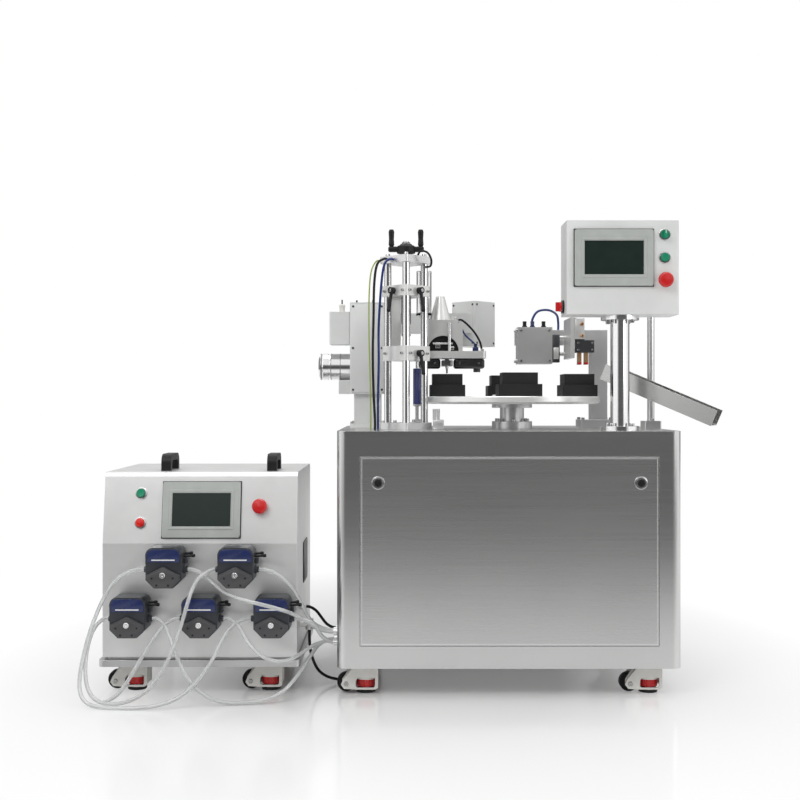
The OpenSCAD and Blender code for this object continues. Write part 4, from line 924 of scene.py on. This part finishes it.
def make_lever_screws():
    """Bright screw in the hub of each clamp lever."""
    low, high = CLAMP_ZS
    for k, (side, z) in enumerate(((-1, high), (1, high), (1, low)), 1):
        spot = frame_at(*face_place(side, 0, z, CLAMP_HALF + 14.3))
        piece(f"clamp_lever_{k}_screw", "lock_metal", f"clamp_lever_{k}",
              (lathe, [(5.2, 0), (5.2, 0.8), (4.4, 1.4), (0, 1.6)], spot, 20))


# Unloading station

SLIM_POST_TOP = (874, 262, 1002)
BLOCK_SCREW_ZS = (890, 980)


def make_unload_details():
    """Dark slide body, fittings, screws, post end and red finger pads of the unloading station."""
    piece("unload_slide_body", "dark_anodised", "root", (block, (22, 23, 82), upright(623, 397, 926), 2))
    piece("unload_slide_plate", "arm_aluminium", "root", (block, (15, 2, 34), upright(623, 385, 912), 0.6))
    piece("unload_block_screws", "lock_metal", "root",
          *((cap_screw, at(511, y, z), (-1, 0, 0), 6) for z in BLOCK_SCREW_ZS for y in (394, 441)),
          *((cap_screw, at(x, 385, z), (0, -1, 0), 5) for z in BLOCK_SCREW_ZS for x in (520, 603)))
    fittings = ((534, "black_plastic", 6), (557, "band_blue", 24), (590, "black_plastic", 6))
    for k, (x, finish, sides) in enumerate(fittings, 1):
        spot = upright(x, 418, 989)
        piece(f"unload_fitting_{k}", finish, "root",
              (lathe, [(7.5, 0), (7.5, 5), (5.6, 5.5), (5.6, 14), (4.4, 16), (3.6, 16)], spot, sides),
              (lathe, [(5.2, 14), (6, 15), (6, 18), (4.8, 19), (3.6, 19)], spot, 24))
    corners = [at(x, 298, z) for z in (918, 938) for x in (674, 714)]
    screws("gripper_screws", "unload_lift", 4, corners, (0, -1, 0))
    piece("gripper_front", "arm_aluminium", "unload_lift", (block, (27, 5, 58), upright(678, 295.5, 978), 1))
    ports = [frame_at(at(684, 293, z), (0, -1, 0)) for z in (958, 992)]
    piece("gripper_fittings", "brass", "unload_lift",
          *((lathe, [(5.5, 0), (5.5, 5), (4.4, 5.4), (4.4, 11), (3, 11.4)], port, 6) for port in ports))
    piece("slim_post_top", "polished_rod", "root",
          (lathe, [(9.9, -0.2), (9.9, 30), (11, 30.6), (11, 42), (10, 43), (0, 43)],
           upright(*SLIM_POST_TOP), 32))
    for side, x in (("left", 680.5), ("right", 699.5)):
        piece(f"finger_{side}_pad", "red_plastic", f"finger_{side}",
              (block, (9.5, 31, 7), upright(x, 320, 880), 0.8))


# Sealing unit, rear housing and pump cabinet

REAR_HOUSING_AT, REAR_HOUSING_HALF = (389, 520), 47.5
COVER_SCREW = [(3.4, 0), (3.4, 0.8), (2.6, 1.6), (0, 1.8)]


def make_housing_details():
    """Cover plate, knob, pins and screws of the pale housings, and the grip of the pump cabinet."""
    cover = front_frame(at(69.5, 380, 927))
    piece("sealing_cover", "pale_paint", "root", (prism, round_outline(97, 258, 4), 2, cover, 0.8))
    spots = [shifted(cover, x, z, 2) for x in (-42, 42) for z in (-122, 0, 122)]
    piece("sealing_cover_screws", "dark_anodised", "root",
          *((lathe, COVER_SCREW, spot, 16) for spot in spots))
    knob = upright(-8, 450, 1035)
    piece("sealing_knob", "castor_cream", "root",
          (lathe, [(11, 0), (11, 3), (8, 4), (8, 16), (9.5, 18), (9.5, 23), (7, 26), (0, 26.5)], knob, 28))
    pins = [upright(x, 450, 1061) for x in (36, 84)]
    piece("sealing_pins", "black_plastic", "root",
          (lathe, [(2, 26), (2, 39), (0, 40)], knob, 14),
          *((lathe, [(4, 0), (4, 4), (2.4, 5), (2.4, 12), (0, 12.5)], pin, 16) for pin in pins))
    rings = [frame_at(at(x, 450, 874), (1, 0, 0)) for x in (-70, -40, -12)]
    piece("barrel_rings", "lock_metal", "root",
          *((lathe, [(38.9, -1.6), (39.6, -1.2), (39.6, 1.2), (38.9, 1.6)], ring, 48) for ring in rings))
    spots = [frame_at(*face_place(side, u, z, REAR_HOUSING_HALF, REAR_HOUSING_AT))
             for side in (-1, 1) for u in (-38, 38) for z in (947, 1062)]
    piece("rear_housing_screws", "dark_anodised", "root", *((lathe, COVER_SCREW, spot, 16) for spot in spots))
    piece("pump_side_grip", "black_plastic", "root",
          (prism, round_outline(138, 115, 14), 1.6, frame_at(at(-106, 293, 320), (1, 0, 0)), 0.6))


# Rear sides

CABINET_W, CABINET_BACK_Y = 900, 650
PUMP_BACK_Y = 480
REAR_PANEL_T = 1.6
REAR_SCREW = [(4.5, 1.6), (4.5, 2.6), (3.4, 3.6), (0, 3.8)]
REAR_SCREW_INSET = 12
INLET_RISE = 50
VENT_W, VENT_ROWS, VENT_PITCH = 120, 8, 14
VENT_SECTION = [(0, -4.5), (-5, -4.5), (-3, 1.5), (0, 4.5)]


def louvres(bm, matrix):
    """Pressed vent slots, one above the other."""
    for k in range(VENT_ROWS):
        row = shifted(matrix, 0, (k - (VENT_ROWS - 1) / 2) * VENT_PITCH, 0)
        slot = row @ Matrix.Rotation(math.radians(90), 4, "Y")
        prism(bm, VENT_SECTION, VENT_W, shifted(slot, 0, 0, -VENT_W / 2))


def make_rear_details():
    """Rear service panels with vents, screws and the mains inlet."""
    panels = (("cabinet", "cabinet_steel", (CABINET_W / 2, CABINET_BACK_Y, 381), 778, 492),
              ("pump", "pump_steel", (-361, PUMP_BACK_Y, 342), 420, 400))
    for name, finish, place, w, h in panels:
        matrix = back_frame(at(*place))
        reach_x, reach_y = w / 2 - REAR_SCREW_INSET, h / 2 - REAR_SCREW_INSET
        spots = [shifted(matrix, sx * reach_x, sy * reach_y, 0) for sx in (-1, 0, 1) for sy in (-1, 1)]
        piece(f"{name}_rear_panel", finish, "root",
              (prism, round_outline(w, h, 4), REAR_PANEL_T, matrix, 0.6),
              *((louvres, shifted(matrix, side * w / 4, -h / 4, REAR_PANEL_T)) for side in (-1, 1)))
        piece(f"{name}_rear_screws", "lock_metal", "root", *((lathe, REAR_SCREW, spot, 18) for spot in spots))
        piece(f"{name}_mains_inlet", "black_plastic", "root",
              (rect_ring, 50, 34, [(0, 0), (0, 5), (2, 6), (8, 6), (9, 1), (16.9, 1)],
               shifted(matrix, 0, INLET_RISE - h / 2, REAR_PANEL_T)))


# Pump heads

HEADS = [(-440, 345), (-256, 345), (-532, 218), (-348, 218), (-164, 218)]
BAND_Y, COVER_Y = -53, -65
PORT = [(11, 0), (11, 5), (9.4, 6), (8, 7), (8, 11.4), (7.4, 12), (5.1, 12), (5.1, 6)]
RIVET = [(2.6, 0), (2.6, 0.8), (1.8, 1.4), (0, 1.4)]
RIVET_SPOTS = ((-27, -24), (27, -24), (-15, -42), (15, -42))
# Depth, height above the head's middle and length of the release pins
PINS = ((-14, 26, 30), (0, 31, 22))


def half_to_full(half):
    """Closed outline from its right half, bottom to top."""
    return half + [(-x, y) for x, y in reversed(half)]


def pin(bm, matrix, l):
    """Release pin with its knob."""
    lathe(bm, [(3, -3), (3, l - 9), (4.4, l - 8), (4.4, l - 2), (3.2, l), (0, l + 0.3)], matrix, 18)


def make_pump_heads():
    """Five peristaltic heads: mount, body, blue band, roof-shaped cover, screws, ports and release pins."""
    outline = half_to_full([(24, -52), (46, -30), *arc(18, CORNER_STEPS, 90, 0, 28, 34)])
    band = half_to_full([(41, 15), (42, 33), *arc(15, CORNER_STEPS, 90, 0, 27, 33)[1:]])
    roof = half_to_full([(22, -50), (43, -29), (43, -17), (3, 3)])
    inner = half_to_full([(19, -46), (38, -27), (38, -19), (3, -3)])
    for k, (x, z) in enumerate(HEADS, 1):
        wall, face, cover = (front_frame(at(x, y, z)) for y in (PUMP_FRONT_Y, BAND_Y, COVER_Y))
        ports = [frame_at(at(x + side * 44, -15, z - 8), (side, 0, 0)) for side in (-1, 1)]
        middle = shifted(cover, 0, -17, 0)
        parts = (
            ("", "pump_plastic", [(prism, round_outline(68, 68, 8), 15, wall, 1),
                                  (prism, outline, 69, shifted(wall, 0, 0, 14), 3),
                                  *((lathe, PORT, port, 28) for port in ports),
                                  (block, (10, 26, 14), upright(x + 50, -7, z + 14), 2)]),
            ("_cover", "cover_plastic", [(prism, roof, 10.5, face, 1.4),
                                         (prism, inner, 1.5, shifted(face, 0, 0, 10.5), 0.8)]),
            ("_band", "band_blue", [(prism, band, 1.6, face, 0.8)]),
            ("_stripe", "white_mark", [(prism, round_outline(60, 3, 1.4), 0.4, shifted(face, 0, 21, 1.6))]),
            ("_screw", "chrome", [(lathe, [(7.5, 0), (7.5, 2), (6.6, 3), (3.8, 3)], middle, 28),
                                  (lathe, [(3.8, 3), (3.4, 1.2), (0, 1.2)], middle, 6)]),
            ("_rivets", "black_plastic", [(lathe, RIVET, shifted(cover, *spot, 0), 14)
                                          for spot in RIVET_SPOTS]),
            ("_pins", "black_plastic", [(pin, frame_at(at(x + 45, y, z + up), (1, 0, 0.06)), l)
                                        for y, up, l in PINS]),
        )
        for part, finish, shapes in parts:
            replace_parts(piece(f"pump_head_{k}{part}", finish, "root", *shapes), "pump_heads")


make_cords()
make_held_tubes()
make_screws()
make_door_trim()
make_panel_details()
make_castor_details()
make_screw()
make_carriage_details()
make_needle_details()
make_spring()
make_lever_screws()
make_unload_details()
make_housing_details()
make_rear_details()
make_pump_heads()
